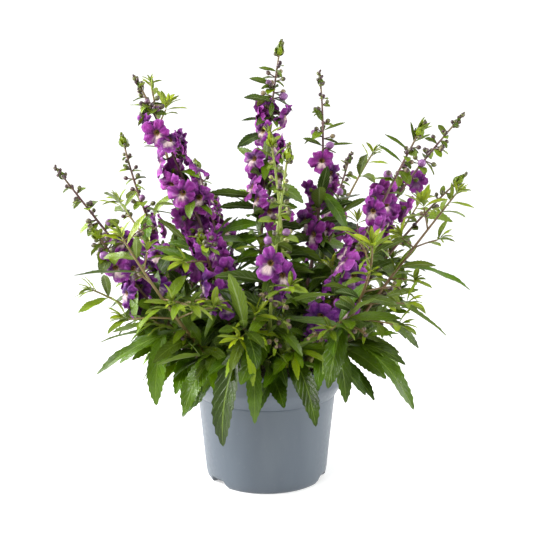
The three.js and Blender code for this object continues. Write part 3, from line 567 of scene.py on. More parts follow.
# Turn, lift and length of each next try, then the shift of a placed leaf's tip, then a bloom's turn
leafTries = [
    (0, 0, 1), (16, 0, 1), (-16, 0, 1), (0, 16, 1), (0, -16, 0.96), (32, 6, 0.94), (-32, 6, 0.94),
    (20, 24, 0.9), (-20, 24, 0.9), (48, 0, 0.86), (-48, 0, 0.86), (0, 36, 0.8), (70, 14, 0.76),
    (-70, 14, 0.76),
]
placedTries = [
    (0, 0), (0, 5), (0, -5), (7, 0), (-7, 0), (7, 7), (-7, 7), (12, -4), (-12, -4), (0, 12), (16, 6),
    (-16, 6),
]
bloomTries = (*range(0, -49, -4), -54, -60, -66, -72)
stemSize = {"footRadius": 1.9, "tipRadius": 0.65, "taper": 0.8}
hang = 0.3
tuft = {"count": 4, "onSkirt": 38}
bloomSize = {"radius": 10.8, "reach": 9.6, "turn": 90, "gap": 11, "lowStep": 0.036,
             "sway": 7, "lift": (-6, 12), "first": 1.04, "shrink": 0.16, "uneven": 0.03, "nod": (-0.8, 0.3),
             "aside": 0.85, "roll": 28, "young": (0.7, 0.96), "youngReach": 1.25, "corners": 3}
budSize = {"radius": 2.1, "length": 4.8, "turn": 150, "last": 0.985, "taper": 0.22, "sunk": 0.2,
           "sway": 20, "stalk": (3.5, 6), "stalkLoss": 0.75, "lowest": 1.05, "shrink": 0.35}
# Turn from one bud, bract or twig to the next round a stem in degrees, and in radians in a rosette
nextTurn, nextInRosette = 137.5, 2.4


def skirtStems():
    stems = []
    for i, degrees in enumerate(skirt["degrees"]):
        startDraws(skirt["firstDraw"] + i)
        turn = degrees * degree
        reach = skirt["reach"][i % 2] + between(-skirt["spread"], skirt["spread"])
        top = skirt["top"][i % 2] + between(-skirt["spread"], skirt["spread"])

        def at(radius):
            return (math.floor(math.sin(turn) * radius + 0.5), math.floor(-math.cos(turn) * radius + 0.5))

        halfWay = (soil["top"] + top) / 2 + skirt["higher"]
        stems.append({
            "name": f"{i + 1:02d}", "foot": at(skirt["feet"]), "leaves": skirt["leaves"],
            "middle": (*at((skirt["feet"] + reach) / 2 - skirt["nearer"]), math.floor(halfWay + 0.5)),
            "tip": (*at(reach), math.floor(top + 0.5)), "tint": skirt["tint"],
        })
    return stems


stems = []
for kind, some, steps in (("raceme", racemes, 5), ("shoot", shoots, 4), ("skirt", skirtStems(), 3)):
    stems += [dict(stem, kind=kind, node=kind + "_" + stem["name"], steps=steps) for stem in some]


# A point on the arc from start over knee to end, and its direction there
def arcPlace(start, knee, end, t):
    point = start * (1 - t) ** 2 + knee * (2 * t * (1 - t)) + end * t * t
    return point, ((knee - start) * (1 - t) + (end - knee) * t).normalized()


def curvePlace(stem, t):
    foot = Vector((*stem["foot"], soil["top"] - soil["stemDepth"]))
    tip = Vector(stem["tip"])
    point, along = arcPlace(foot, Vector(stem["middle"]) * 2 - foot * 0.5 - tip * 0.5, tip, t)
    front = (frontwards - along * frontwards.dot(along)).normalized()
    return {"point": point, "along": along, "front": front, "side": front.cross(along)}


def stemPlace(stem, t):
    steps = stem["steps"]
    length = min(math.floor(t * steps), steps - 1)
    place = curvePlace(stem, t)
    one = curvePlace(stem, length / steps)["point"]
    other = curvePlace(stem, (length + 1) / steps)["point"]
    place["point"] = one.lerp(other, t * steps - length)
    return place


def stemRadius(t):
    return stemSize["footRadius"] + (stemSize["tipRadius"] - stemSize["footRadius"]) * t ** stemSize["taper"]


def stemLength(stem):
    marks = [curvePlace(stem, i / 8)["point"] for i in range(9)]
    return sum((marks[i + 1] - marks[i]).length for i in range(8))


def outward(place, degrees):
    return swing(place["front"], place["side"], degrees * degree)


# How a leaf lies: it leaves its base along one direction and bends evenly towards another
def hangFrom(along):
    down = Vector((along.x * hang, along.y * hang, -1))
    return (down - along * down.dot(along)).normalized()


def leafLieBetween(base, tip, droop):
    chord = tip - base
    straight = chord.length
    half = droop * degree / 2
    chord.normalize()
    down = hangFrom(chord)
    return {"base": base, "along": swing(chord, -down, half), "down": swing(down, chord, half),
            "droop": 2 * half, "length": straight * half / math.sin(half)}


def lieTowards(base, along, towards, droop, length):
    down = (towards - along * towards.dot(along)).normalized()
    return {"base": base, "along": along, "down": down, "droop": droop * degree, "length": length}


def leafLie(base, along, droop, length):
    return lieTowards(base, along, hangFrom(along), droop, length)


def ribPlace(lie, u, roll):
    along, down = lie["along"], lie["down"]
    angle = lie["droop"] * u
    bend = lie["length"] / lie["droop"]
    point = lie["base"] + along * (bend * math.sin(angle)) + down * (bend * (1 - math.cos(angle)))
    up = along * math.sin(angle) - down * math.cos(angle)
    across = -along.cross(down)
    turn = roll * degree * (0.5 + 0.5 * u)
    return point, swing(up, -across, turn), swing(across, up, turn)


# How leaves are drawn in pairs and in a tuft, and those that only the looks have
leafForms = {
    "pair": {"lift": (12, 38), "liftGain": 12, "size": (0.88, 1.08), "droop": (18, 50), "roll": 58,
             "slim": (0.115, 0.15), "shrink": 0.2, "sway": 14, "aside": 10},
    "tuft": {"lift": (28, 40), "liftGain": 38, "size": (0.9, 1.1), "droop": (8, 30), "roll": 40,
             "slim": (0.12, 0.15), "shrink": 0.45, "sway": 10, "start": 0.95, "spread": 0.045},
    "more": {"liftGain": 0, "size": (0.7, 1.2), "droop": (8, 66), "roll": 80, "slim": (0.09, 0.14),
             "sway": 16, "aside": 25},
}


def drawnLeaf(form, t, turn, share, length):
    return {"t": t, "turn": turn, "lift": between(*form["lift"]) + form["liftGain"] * share,
            "length": length * between(*form["size"]), "droop": between(*form["droop"]),
            "roll": between(-form["roll"], form["roll"]), "slim": between(*form["slim"])}


# Opposite leaves at one place, each turned aside by its own amount
def drawnPair(form, t, turn, share, length):
    aside = form["aside"]
    return [drawnLeaf(form, t, turn + half + between(-aside, aside), share, length) for half in (0, 180)]


def pairedLeaves(stem, number):
    startRun(number, "pairs")
    form = leafForms["pair"]
    start, end, pairs, longest = stem["leaves"]
    turn = between(0, 180)
    leaves = []
    for i in range(pairs):
        share = i / (pairs - 1) if pairs > 1 else 0
        turn += 90 + between(-form["sway"], form["sway"])
        length = longest * (1 - form["shrink"] * share)
        leaves += drawnPair(form, start + (end - start) * share, turn, share, length)
    return leaves


def tuftLeaves(longest, number):
    startRun(number, "tuft")
    form = leafForms["tuft"]
    turn = between(0, 180)
    leaves = []
    for i in range(tuft["count"]):
        turn += nextTurn + between(-form["sway"], form["sway"])
        share = i / (tuft["count"] - 1)
        length = longest * (1 - form["shrink"] * share)
        leaves.append(drawnLeaf(form, form["start"] + form["spread"] * share, turn, share, length))
    return leaves


def layLeaf(stem, leaf, attempt):
    turn, lift, scale = attempt
    place = stemPlace(stem, leaf["t"])
    rise = (leaf["lift"] + lift) * degree
    along = swing(outward(place, leaf["turn"] + turn), place["along"], rise)
    length = leaf["length"] * scale
    lie = leafLie(place["point"], along.normalized(), leaf["droop"], length)
    return {"lie": lie, "half": length * leaf["slim"], "roll": leaf["roll"]}


def layPlacedLeaf(stem, leaf, attempt):
    at, tip, half, droop = leaf
    end = Vector((tip[0] + attempt[0], tip[1], tip[2] + attempt[1]))
    return {"lie": leafLieBetween(stemPlace(stem, at)["point"], end, droop), "half": half, "roll": 0}


# Rolls a leaf about its rib, by so many degrees at most, so that its face looks more to the front
def rolledToFront(laid, most):
    _, up, across = ribPlace(laid["lie"], 0.5, 0)
    turn = math.atan(-across.dot(frontwards) / up.dot(frontwards)) / degree / 0.75
    return dict(laid, roll=min(max(turn, -most), most))


# The solids' own corners say which try each piece took
def cornersOf(node):
    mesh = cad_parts[node].data
    tree = kdtree.KDTree(len(mesh.vertices))
    for vert in mesh.vertices:
        tree.insert(vert.co / mm, vert.index)
    tree.balance()
    return tree


def isCorner(tree, point, near=0.08):
    return tree.find(point)[2] < near


corners = {node: cornersOf(node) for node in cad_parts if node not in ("pot", "soil")}


def foundLeaf(stem, tries, layTry, leaf):
    for attempt in tries:
        laid = layTry(stem, leaf, attempt)
        if isCorner(corners[stem["node"]], ribPlace(laid["lie"], 1, laid["roll"])[0]):
            return [laid]
    return []


leafLook = {"placedRoll": 30, "placedAge": 0.05, "placedWider": 1.12, "addedRoll": 65, "shootAge": 0.25,
            "tuftAge": 0.85, "skirtTuftAge": 0.12}
for number, stem in enumerate(stems):
    stem["laid"] = []
    for leaf in placedLeaves.get(stem["node"], ()):
        for laid in foundLeaf(stem, placedTries, layPlacedLeaf, leaf):
            stem["laid"].append(dict(rolledToFront(laid, leafLook["placedRoll"]), age=leafLook["placedAge"],
                                     t=leaf[0], half=laid["half"] * leafLook["placedWider"]))
    for t, tip, half, droop, age in addedLeaves.get(stem["node"], ()):
        lie = leafLieBetween(stemPlace(stem, t)["point"], Vector(tip), droop)
        laid = rolledToFront({"lie": lie, "half": half, "roll": 0}, leafLook["addedRoll"])
        stem["laid"].append(dict(laid, age=age, t=t))
    young = leafLook["shootAge"] if stem["kind"] == "shoot" else 0
    for leaf in pairedLeaves(stem, number):
        for laid in foundLeaf(stem, leafTries, layLeaf, leaf):
            stem["laid"].append(dict(laid, age=young * (0.4 + leaf["t"]), t=leaf["t"]))
    if "buds" in stem:
        continue
    age = leafLook["tuftAge" if "tuft" in stem else "skirtTuftAge"]
    for leaf in tuftLeaves(stem.get("tuft", tuft["onSkirt"]), number):
        for laid in foundLeaf(stem, leafTries, layLeaf, leaf):
            stem["laid"].append(dict(laid, age=age, t=leaf["t"]))
print("leaves found", sum(len(stem["laid"]) for stem in stems))


# Blooms: two upper lobes, two side lobes and a longer lower lip, by degrees round the face
lobes = [
    {"middle": 55, "half": 37, "reach": 1.0, "forward": -1.8},
    {"middle": 125, "half": 37, "reach": 0.98, "forward": -1.4},
    {"middle": -10, "half": 35, "reach": 1.0, "forward": -0.2},
    {"middle": 190, "half": 35, "reach": 1.0, "forward": 0.3},
    {"middle": -90, "half": 48, "reach": 1.14, "forward": 1.2},
]
bloomEdge = [(54, 1, -1.4), (6, 0.96, 0), (-24, 0.98, 0.4), (-72, 1.06, 0.8), (-108, 1.06, 0.8),
             (-156, 0.98, 0.4), (-186, 0.96, 0), (-234, 1, -1.4)]


def bloomPlaces(stem, number):
    startRun(number, "blooms")
    form = bloomSize
    start, end, count = stem["blooms"]
    places = []
    for i in range(count):
        share = i / (count - 1)
        turn = between(0, 360) if i == 0 else form["turn"] + between(-form["sway"], form["sway"])
        lift = between(*form["lift"])
        size = form["first"] - form["shrink"] * share + between(-form["uneven"], form["uneven"])
        places.append({"t": start + (end - start) * share, "turn": turn, "lift": lift, "size": size})
    return places


# A bloom at a place of its stem, at a share of the usual reach
def bloomAt(place, t, out, towards, size, reach=1.0):
    facing = towards.normalized()
    up = (upwards - facing * upwards.dot(facing)).normalized()
    return {"centre": place["point"] + out * (bloomSize["reach"] * reach * size), "facing": facing, "up": up,
            "right": up.cross(facing), "out": out, "size": size, "root": place["point"], "t": t,
            "along": place["along"]}


def layBloom(stem, bloom, turn):
    place = stemPlace(stem, bloom["t"])
    out = outward(place, turn)
    return bloomAt(place, bloom["t"], out, swing(out, upwards, bloom["lift"] * degree), bloom["size"])


def bloomPoint(bloom, across, upward, forward):
    offset = bloom["right"] * across + bloom["up"] * upward + bloom["facing"] * forward
    return bloom["centre"] + offset * bloom["size"]


def bloomFound(tree, bloom):
    hits = 0
    for degrees, share, forward in bloomEdge:
        radius = bloomSize["radius"] * share
        angle = degrees * degree
        corner = bloomPoint(bloom, math.cos(angle) * radius, math.sin(angle) * radius, forward)
        hits += isCorner(tree, corner)
    return hits >= bloomSize["corners"]


for number, stem in enumerate(stems):
    stem["open"] = []
    if not stem.get("blooms"):
        continue
    tree = corners["blooms_" + stem["name"]]
    turn = 0
    for bloom in bloomPlaces(stem, number):
        for twist in bloomTries:
            laid = layBloom(stem, bloom, turn + bloom["turn"] + twist)
            if bloomFound(tree, laid):
                stem["open"].append(laid)
                turn += bloom["turn"] + twist
                break
print("blooms found", sum(len(stem["open"]) for stem in stems))


# Each bloom nods, looks aside and rolls by its own amount
def nodded(bloom):
    nod = between(*bloomSize["nod"])
    aside = between(-bloomSize["aside"], bloomSize["aside"])
    roll = between(-bloomSize["roll"], bloomSize["roll"]) * degree
    facing = (bloom["facing"] + bloom["up"] * nod + bloom["right"] * aside).normalized()
    up = (upwards - facing * upwards.dot(facing)).normalized()
    right = up.cross(facing)
    return dict(bloom, facing=facing, up=swing(up, right, roll), right=swing(right, -up, roll))


# More blooms between the solids' own, younger and smaller, spread to both sides of the stem
for number, stem in enumerate(stems):
    startRun(number, "moreBlooms")
    own = stem["open"]
    full = stem.get("full", 0.7)
    extra = []
    for t, degrees, size, reach in addedBlooms.get(stem["node"], ()):
        place = stemPlace(stem, t)
        out = outward(place, degrees)
        extra.append(bloomAt(place, t, out, out + upwards * between(-0.1, 0.3), size, reach))
    for bloom, after in zip(own, own[1:]):
        t = (bloom["t"] + after["t"]) / 2
        place = stemPlace(stem, t)
        aside = place["side"] if (len(extra) + number) % 2 else -place["side"]
        out = (aside + place["front"] * between(-0.5, 0.7)).normalized()
        size = between(*bloomSize["young"])
        towards = out + upwards * between(-0.1, 0.3)
        bloom = bloomAt(place, t, out, towards, size, bloomSize["youngReach"])
        gaps = [(bloom["centre"] - other["centre"]).length for other in own + extra]
        if draw() < full and min(gaps) > bloomSize["gap"]:
            extra.append(bloom)
    low = stem.get("low", 1)
    while own and low < own[0]["t"]:
        place = stemPlace(stem, low)
        out = outward(place, between(-100, 60))
        extra.append(bloomAt(place, low, out, out + upwards * between(-0.3, 0.3), own[0]["size"]))
        low += bloomSize["lowStep"]
    stem["open"] = [nodded(bloom) for bloom in own + extra]
print("blooms in all", sum(len(stem["open"]) for stem in stems))


def budPlaces(stem, number):
    startRun(number, "buds")
    start, count = stem["buds"]
    turn = between(0, 360)
    places = []
    for i in range(count):
        share = i / (count - 1)
        place = stemPlace(stem, start + (budSize["last"] - start) * share)
        turn += budSize["turn"] + between(-budSize["sway"], budSize["sway"])
        direction = outward(place, turn) * (0.86 - 0.4 * share) + place["along"] * (0.3 + 0.5 * share)
        stalk = between(*budSize["stalk"]) * (1 - budSize["stalkLoss"] * share)
        places.append({"base": place["point"], "direction": direction.normalized(), "share": share,
                       "stalk": stalk, "size": budSize["lowest"] - budSize["shrink"] * share})
    return places


for number, stem in enumerate(stems):
    stem["shut"] = []
    if "buds" not in stem:
        continue
    for bud in budPlaces(stem, number):
        tip = bud["base"] + bud["direction"] * (bud["stalk"] + budSize["length"] * bud["size"])
        if isCorner(corners[stem["node"]], tip):
            stem["shut"].append(bud)
print("buds found", sum(len(stem["shut"]) for stem in stems))


# More leaves than the solids hold, in the pairs between theirs, each where it finds room
cell = 14.0
taken = {}


def cellOf(point):
    return (math.floor(point.x / cell), math.floor(point.y / cell), math.floor(point.z / cell))


def take(point, owner, reach=0.0):
    taken.setdefault(cellOf(point), []).append((point, owner, reach))


def isFree(point, owner, room):
    x, y, z = cellOf(point)
    for i in (x - 1, x, x + 1):
        for j in (y - 1, y, y + 1):
            for k in (z - 1, z, z + 1):
                for other, whose, reach in taken.get((i, j, k), ()):
                    if whose != owner and (other - point).length < room + reach:
                        return False
    return True


leafMarks = (0.25, 0.4, 0.55, 0.7, 0.85, 1.0)


def takeLeaf(laid, owner):
    for u in leafMarks:
        take(ribPlace(laid["lie"], u, 0)[0], owner)


# Room kept free for each bloom: how far ahead of it and the reach there, then the same away from the pot
bloomRoom = {
    "ahead": ((-3, 0), (0, 2), (6, 8), (14, 8.5), (23, 8), (32, 6)),
    "away": ((9, 8), (18, 8.5), (27, 8), (36, 6)), "ring": 7,
}
for stem in stems:
    for laid in stem["laid"]:
        takeLeaf(laid, object())
    for bloom in stem["open"]:
        for ahead, reach in bloomRoom["ahead"]:
            take(bloomPoint(bloom, 0, 0, ahead), "bloom", reach)
        centre = bloom["centre"]
        away = Vector((centre.x, min(centre.y, centre.y * 0.3), 0)).normalized()
        for ahead, reach in bloomRoom["away"]:
            take(centre + away * ahead, "bloom", reach)
        for angle in range(0, 360, 60):
            ring = bloomRoom["ring"]
            across, upward = ring * math.cos(angle * degree), ring * math.sin(angle * degree)
            take(bloomPoint(bloom, across, upward, 0), "bloom")
    for i in range(40):
        take(curvePlace(stem, i / 40)["point"], stem["node"])

potRoom = {"rim": 62, "height": 96, "lowestLeaf": 101}


def isClearOfPot(point):
    return point.z > potRoom["height"] or math.hypot(point.x, point.y) > potRoom["rim"]


# Inside the solids' box and over the pot's rim
def inBox(mark):
    inside = all(cadBox[0][k] < mark[k] * mm < cadBox[1][k] for k in range(3))
    return inside and mark.z > potRoom["lowestLeaf"]


def addMoreLeaves(stem, number, plan):
    startRun(number, "moreLeaves")
    form = dict(leafForms["more"], lift=plan["lift"])
    step = plan["step"] / stemLength(stem)
    turn = between(0, 180)
    t = plan["from"]
    while t < plan["to"]:
        turn += 90 + between(-form["sway"], form["sway"])
        share = (t - plan["from"]) / (plan["to"] - plan["from"])
        age = plan["age"][0] + (plan["age"][1] - plan["age"][0]) * share
        length = plan["longest"] + (plan["shortest"] - plan["longest"]) * share
        for leaf in drawnPair(form, t, turn, share, length):
            for attempt in leafTries:
                laid = layLeaf(stem, leaf, attempt)
                marks = [ribPlace(laid["lie"], u, 0)[0] for u in leafMarks]
                if all(inBox(mark) and isFree(mark, stem["node"], plan["room"]) for mark in marks):
                    stem["laid"].append(dict(laid, age=age, t=t))
                    takeLeaf(laid, object())
                    break
        t += step * between(0.8, 1.2)


# Where the leaves of each kind of stem start and end along it, and how they are
plans = {
    "raceme": {"from": 0.1, "to": 0.6, "step": 8, "longest": 54, "shortest": 38, "room": 3.0,
               "lift": (-5, 52), "age": (0.0, 0.15), "intoBlooms": 0.05, "intoBloomsBehind": 0.16},
    "shoot": {"from": 0.12, "to": 0.62, "step": 8, "longest": 46, "shortest": 26, "room": 3.0,
              "lift": (0, 55), "age": (0.0, 0.4)},
    "skirt": {"from": 0.2, "to": 0.95, "step": 9, "longest": 48, "shortest": 26, "room": 3.6,
              "lift": (-25, 70), "age": (0.0, 0.5)},
}
behind = ("raceme_04", "raceme_05", "raceme_11", "raceme_12", "raceme_13")
for number, stem in enumerate(stems):
    plan = dict(plans[stem["kind"]])
    if stem.get("blooms"):
        into = "intoBloomsBehind" if stem["node"] in behind else "intoBlooms"
        plan["to"] = stem["blooms"][0] + plan[into]
    plan["to"] = min(plan["to"], stem.get("bare", 1))
    addMoreLeaves(stem, number, plan)
print("leaves in all", sum(len(stem["laid"]) for stem in stems))


# Blanks: each small piece is made once on a plain form, then bent into place for every repeat. A blade
# and a bloom get an under side that shares their edge.
def addUnderSide(bm):
    for face in bm.faces:
        face.smooth = True
    for edge in bm.edges:
        edge.smooth = not edge.is_boundary
    under = bmesh.ops.duplicate(bm, geom=bm.faces[:])["geom"]
    faces = [part for part in under if isinstance(part, bmesh.types.BMFace)]
    bmesh.ops.reverse_faces(bm, faces=faces)
    for face in faces:
        face.material_index = 1
    for vert in vertsOf(under):
        vert.co.z *= -1
    bmesh.ops.remove_doubles(bm, verts=bm.verts[:], dist=0.0001)


# A line of points spun about Z
def spun(bm, points, steps, near):
    line = [bm.verts.new(point) for point in points]
    edges = [bm.edges.new(pair) for pair in zip(line, line[1:])]
    bmesh.ops.spin(bm, geom=line + edges, cent=(0, 0, 0), axis=(0, 0, 1), angle=2 * math.pi, steps=steps,
                   use_merge=True)
    bmesh.ops.remove_doubles(bm, verts=bm.verts[:], dist=near)
    bmesh.ops.recalc_face_normals(bm, faces=bm.faces[:])


# A blade blank: x runs along it and y across
def bladeBlank(name, rows, columns):
    bm = bmesh.new()
    marks = bm.loops.layers.uv.new("blade")
    bmesh.ops.create_grid(bm, x_segments=rows, y_segments=columns, size=0.5)
    for vert in bm.verts:
        vert.co.x += 0.5
        vert.co.y *= 2
        vert.co.z = 0 if vert.is_boundary else 1
    for face in bm.faces:
        for loop in face.loops:
            loop[marks].uv = (loop.vert.co.x, loop.vert.co.y * 0.5 + 0.5)
    addUnderSide(bm)
    return meshFrom(name, bm)


# A tube blank: z runs along it from 0 to 1
def tubeBlank(name, sides, steps):
    bm = bmesh.new()
    bmesh.ops.create_cone(bm, cap_ends=True, segments=sides, radius1=1, radius2=1, depth=1)
    long = [edge for edge in bm.edges if abs(edge.verts[0].co.z - edge.verts[1].co.z) > 0.5]
    bmesh.ops.subdivide_edges(bm, edges=long, cuts=steps - 1, use_grid_fill=True)
    for vert in bm.verts:
        vert.co.z += 0.5
    for face in bm.faces:
        face.smooth = True
        face.material_index = 2
    return meshFrom(name, bm)


def budBlank():
    bm = bmesh.new()
    bmesh.ops.create_uvsphere(bm, u_segments=8, v_segments=6, radius=1)
    for face in bm.faces:
        face.smooth = True
        face.material_index = 3
    return meshFrom("budBlank", bm)


# A bloom blank: a disc in rings
def bloomBlank():
    bm = bmesh.new()
    spun(bm, [(radius, 0, 0) for radius in (0, 0.14, 0.27, 0.4, 0.56, 0.74, 0.88, 1)], 48, 0.0001)
    if sum(face.normal.z for face in bm.faces) < 0:
        bmesh.ops.reverse_faces(bm, faces=bm.faces[:])
    for vert in bm.verts:
        vert.co.z = 0 if vert.is_boundary else 1
    addUnderSide(bm)
    return meshFrom("bloomBlank", bm)


bladeRows = 24
blade = bladeBlank("bladeBlank", bladeRows, 4)
smallRows = 8
smallBlade = bladeBlank("smallBladeBlank", smallRows, 2)
tinyRows = 5
tinyBlade = bladeBlank("tinyBladeBlank", tinyRows, 2)
stemTube = tubeBlank("stemTubeBlank", 8, 24)
stalkTube = tubeBlank("stalkTubeBlank", 5, 4)
budBall = budBlank()
bloomDisc = bloomBlank()
numbers = ("tone", "age", "rise", "tint", "reach", "lip", "streak", "fold")


def startPiece():
    bm = bmesh.new()
    bm.loops.layers.uv.new("blade")
    for name in numbers:
        bm.verts.layers.float.new(name)
    return bm


def grow(bm, blank, place, **values):
    first = len(bm.verts)
    bm.from_mesh(blank)
    bm.verts.ensure_lookup_table()
    layers = {name: bm.verts.layers.float[name] for name in values}
    for vert in bm.verts[first:]:
        spot = vert.co.copy()
        vert.co = place(spot) * mm
        for name, value in values.items():
            vert[layers[name]] = value(spot) if callable(value) else value


def mapTo(points, value):
    for (x0, y0), (x1, y1) in zip(points, points[1:]):
        if value <= x1:
            return y0 + (y1 - y0) * (value - x0) / (x1 - x0)
    return points[-1][1]


bladeForm = {
    "width": [(0, 0.1), (0.06, 0.2), (0.14, 0.5), (0.25, 0.82), (0.37, 1), (0.5, 1.06), (0.62, 1.02),
              (0.75, 0.86), (0.87, 0.56), (0.95, 0.26), (1, 0.03)],
    "tooth": 0.06, "toothFrom": 0.24, "toothTo": 0.96, "toothedRows": 10, "lean": 0.3,
    "thick": 0.3, "ribThick": 0.45, "fold": 15, "youngSlimmer": 0.2, "waves": 2.2,
    "apart": 1.1,
}


# Bends a blade blank to a laid leaf: toothed edges, a fold along the rib and a slow wave
def addLeaf(bm, laid, blank, rows, wave=0.12, phase=0.0):
    form, lie, half, roll = bladeForm, laid["lie"], laid["half"], laid["roll"]
    fold = form["fold"] * degree
    ribs = {}

    def place(spot):
        u, v, face = spot
        edge = abs(v)
        row = round(u * rows)
        if row not in ribs:
            ribs[row] = ribPlace(lie, u, roll)
        width = half * mapTo(form["width"], u) * (1 - form["youngSlimmer"] * laid["age"])
        lean = 0
        if edge > 0.99 and form["toothFrom"] < u < form["toothTo"] and rows > form["toothedRows"]:
            width *= 1 + form["tooth"] * (1 if row % 2 else -1.2)
            lean = form["lean"] * lie["length"] / rows * (1 if row % 2 else -0.2)
        point, up, across = ribs[row]
        lift = edge ** 1.15 * width * math.sin(fold)
        swell = math.sin((u * form["waves"] + phase) * 2 * math.pi + (form["apart"] if v > 0 else 0))
        lift += wave * edge * width * swell
        lift += face * form["ribThick" if edge < 0.01 else "thick"] * min(1, 0.3 + u * 6) * 0.5
        ahead = swing(lie["along"], lie["down"], lie["droop"] * u)
        return point - across * (v * width * math.cos(fold)) + up * lift + ahead * lean

    grow(bm, blank, place, tone=laid["tone"], age=laid["age"])


def addTube(bm, blank, path, radius, **values):
    def place(spot):
        point, side, other = path(spot.z)
        return point + (side * spot.x + other * spot.y) * radius(spot.z)

    grow(bm, blank, place, **values)


def squareTo(direction):
    one = direction.cross(upwards if abs(direction.z) < 0.9 else frontwards).normalized()
    return one, direction.cross(one)


# A short stalk that leaves the stem and bends up to what it carries
def addStalk(bm, start, end, sag, radius, tint, rise):
    knee = (start + end) / 2 - upwards * sag

    def path(t):
        point, ahead = arcPlace(start, knee, end, t)
        return (point, *squareTo(ahead))

    addTube(bm, stalkTube, path, lambda t: radius * (1.15 - 0.2 * t), tint=tint, rise=rise)


sepals = {
    "bud": {"count": 5, "ahead": 0.75, "aside": 0.7, "droop": 50, "age": 0.35, "tone": -0.2},
    "bloom": {"count": 5, "ahead": 0.55, "aside": 0.8, "droop": 46, "age": 0.3, "tone": -0.3,
              "length": 4.2, "half": 1.0, "behind": -4.9},
}


# Sepals that clasp the foot of a bud or a bloom
def addSepals(bm, form, foot, direction, length, half):
    one, other = squareTo(direction)
    for i in range(form["count"]):
        out = swing(one, other, i * 360 / form["count"] * degree)
        along = (direction * form["ahead"] + out * form["aside"]).normalized()
        lie = lieTowards(foot, along, direction, form["droop"], length)
        laid = {"lie": lie, "half": half, "roll": 0, "age": form["age"], "tone": form["tone"]}
        addLeaf(bm, laid, tinyBlade, tinyRows, 0)


def addBud(bm, base, direction, stalk, size, tint, age, tone):
    one, other = squareTo(direction)
    foot = base + direction * stalk
    addStalk(bm, base, foot, 0.0, 0.42 + 0.1 * size, tint, 0.8)
    length = budSize["length"] * size
    radius = budSize["radius"] * size

    def place(spot):
        z = spot.z
        waist = radius * (1 - budSize["taper"] * max(z, 0) ** 2)
        rise = length * 0.5 * (z + 1) - budSize["sunk"]
        return foot + (one * spot.x + other * spot.y) * waist + direction * rise

    grow(bm, budBall, place, tone=tone, age=age, reach=lambda spot: 0.5 + 0.5 * spot.z)
    addSepals(bm, sepals["bud"], foot - direction * 0.3, direction, length * 0.64, radius * 0.5)


def lobeAt(degrees):
    best = (0.0, 0, 0.0)
    for i, lobe in enumerate(lobes):
        off = ((degrees - lobe["middle"] + 180) % 360 - 180) / lobe["half"]
        if abs(off) < 1:
            best = max(best, ((1 - abs(off) ** 3) ** 0.5, i, off))
    return best


bloomForm = {"notch": 0.5, "mouth": 0.62, "throat": 6.0, "thick": 0.35, "ruffle": 0.5, "curl": 1.5,
             "crease": 0.9, "wrinkle": 3.0, "wrinkleSize": 0.3, "palate": 1.9, "steps": 48,
             "uneven": 0.2, "frill": 0.03, "stretch": (0.86, 1.02)}


# Bends a disc blank to a two-lipped bloom with a deep throat. No two are alike: flop lets the lower lip
# hang, reflex bends the side lobes back, and each lobe has its own lean and size.
def addBloom(bm, bloom, tone, phase):
    form = bloomForm
    flop, reflex = between(-1.5, 3.2), between(-1.0, 2.6)
    leans = [between(-2.6, 2.2) for _ in lobes]
    sizes = [between(0.92, 1.16) for _ in lobes]
    narrow = between(*form["stretch"])
    shapes = {}

    def shape(spot):
        key = (round(spot.x, 4), round(spot.y, 4))
        if key in shapes:
            return shapes[key]
        share = math.hypot(spot.x, spot.y)
        angle = math.atan2(spot.y, spot.x)
        swell, which, off = lobeAt(angle / degree)
        lobe = lobes[which]
        spread = min(max((share - 0.3) / 0.7, 0), 1)
        spread = spread * spread * (3 - 2 * spread)
        ring = Vector((math.cos(angle), math.sin(angle), phase))
        reach = lobe["reach"] * sizes[which] + form["uneven"] * noise.noise(ring * 1.6)
        edge = form["notch"] + (reach - form["notch"]) * swell
        edge *= 1 + form["frill"] * math.sin(angle * 15 + phase)
        radius = bloomSize["radius"] * share * (form["mouth"] * (1 - spread) + edge * spread)
        below = max(0, -math.sin(angle))
        rise = -form["throat"] * (1 - min(share / 0.5, 1)) ** 1.4
        rise += (lobe["forward"] + leans[which] * share) * spread + 0.9 * math.sin(math.pi * spread) * swell
        rise -= form["curl"] * spread ** 3 * (0.35 + off * off)
        rise -= form["crease"] * spread * max(0, 1 - 3 * abs(off))
        rise += form["ruffle"] * spread ** 2 * math.sin(angle * 7 + phase)
        wrinkle = noise.noise(Vector((spot.x, spot.y, phase)) / form["wrinkleSize"])
        rise += form["wrinkle"] * spread * wrinkle
        rise += flop * spread ** 2 * below ** 2 - reflex * spread ** 2 * abs(math.cos(angle)) ** 3
        rise += form["palate"] * below ** 3 * math.exp(-((share - 0.36) / 0.13) ** 2)
        shapes[key] = (radius * narrow * math.cos(angle), radius * math.sin(angle), rise, below, abs(off))
        return shapes[key]

    def place(spot):
        across, upward, forward = shape(spot)[:3]
        return bloomPoint(bloom, across, upward, forward + spot.z * form["thick"] * 0.5)

    def streak(spot):
        return round(math.atan2(spot.y, spot.x) / (2 * math.pi) * form["steps"]) % 2

    grow(bm, bloomDisc, place, tone=tone, reach=lambda spot: math.hypot(spot.x, spot.y),
         lip=lambda spot: shape(spot)[3], fold=lambda spot: shape(spot)[4], streak=streak)


twigForm = {"sag": -0.06, "radius": 0.62, "age": (0.35, 1), "buds": 4, "budsFrom": 0.55, "budsStep": 0.15,
            "bracts": (6, 10), "pairAt": 0.6, "pair": (12, 20), "rosette": (13, 20)}


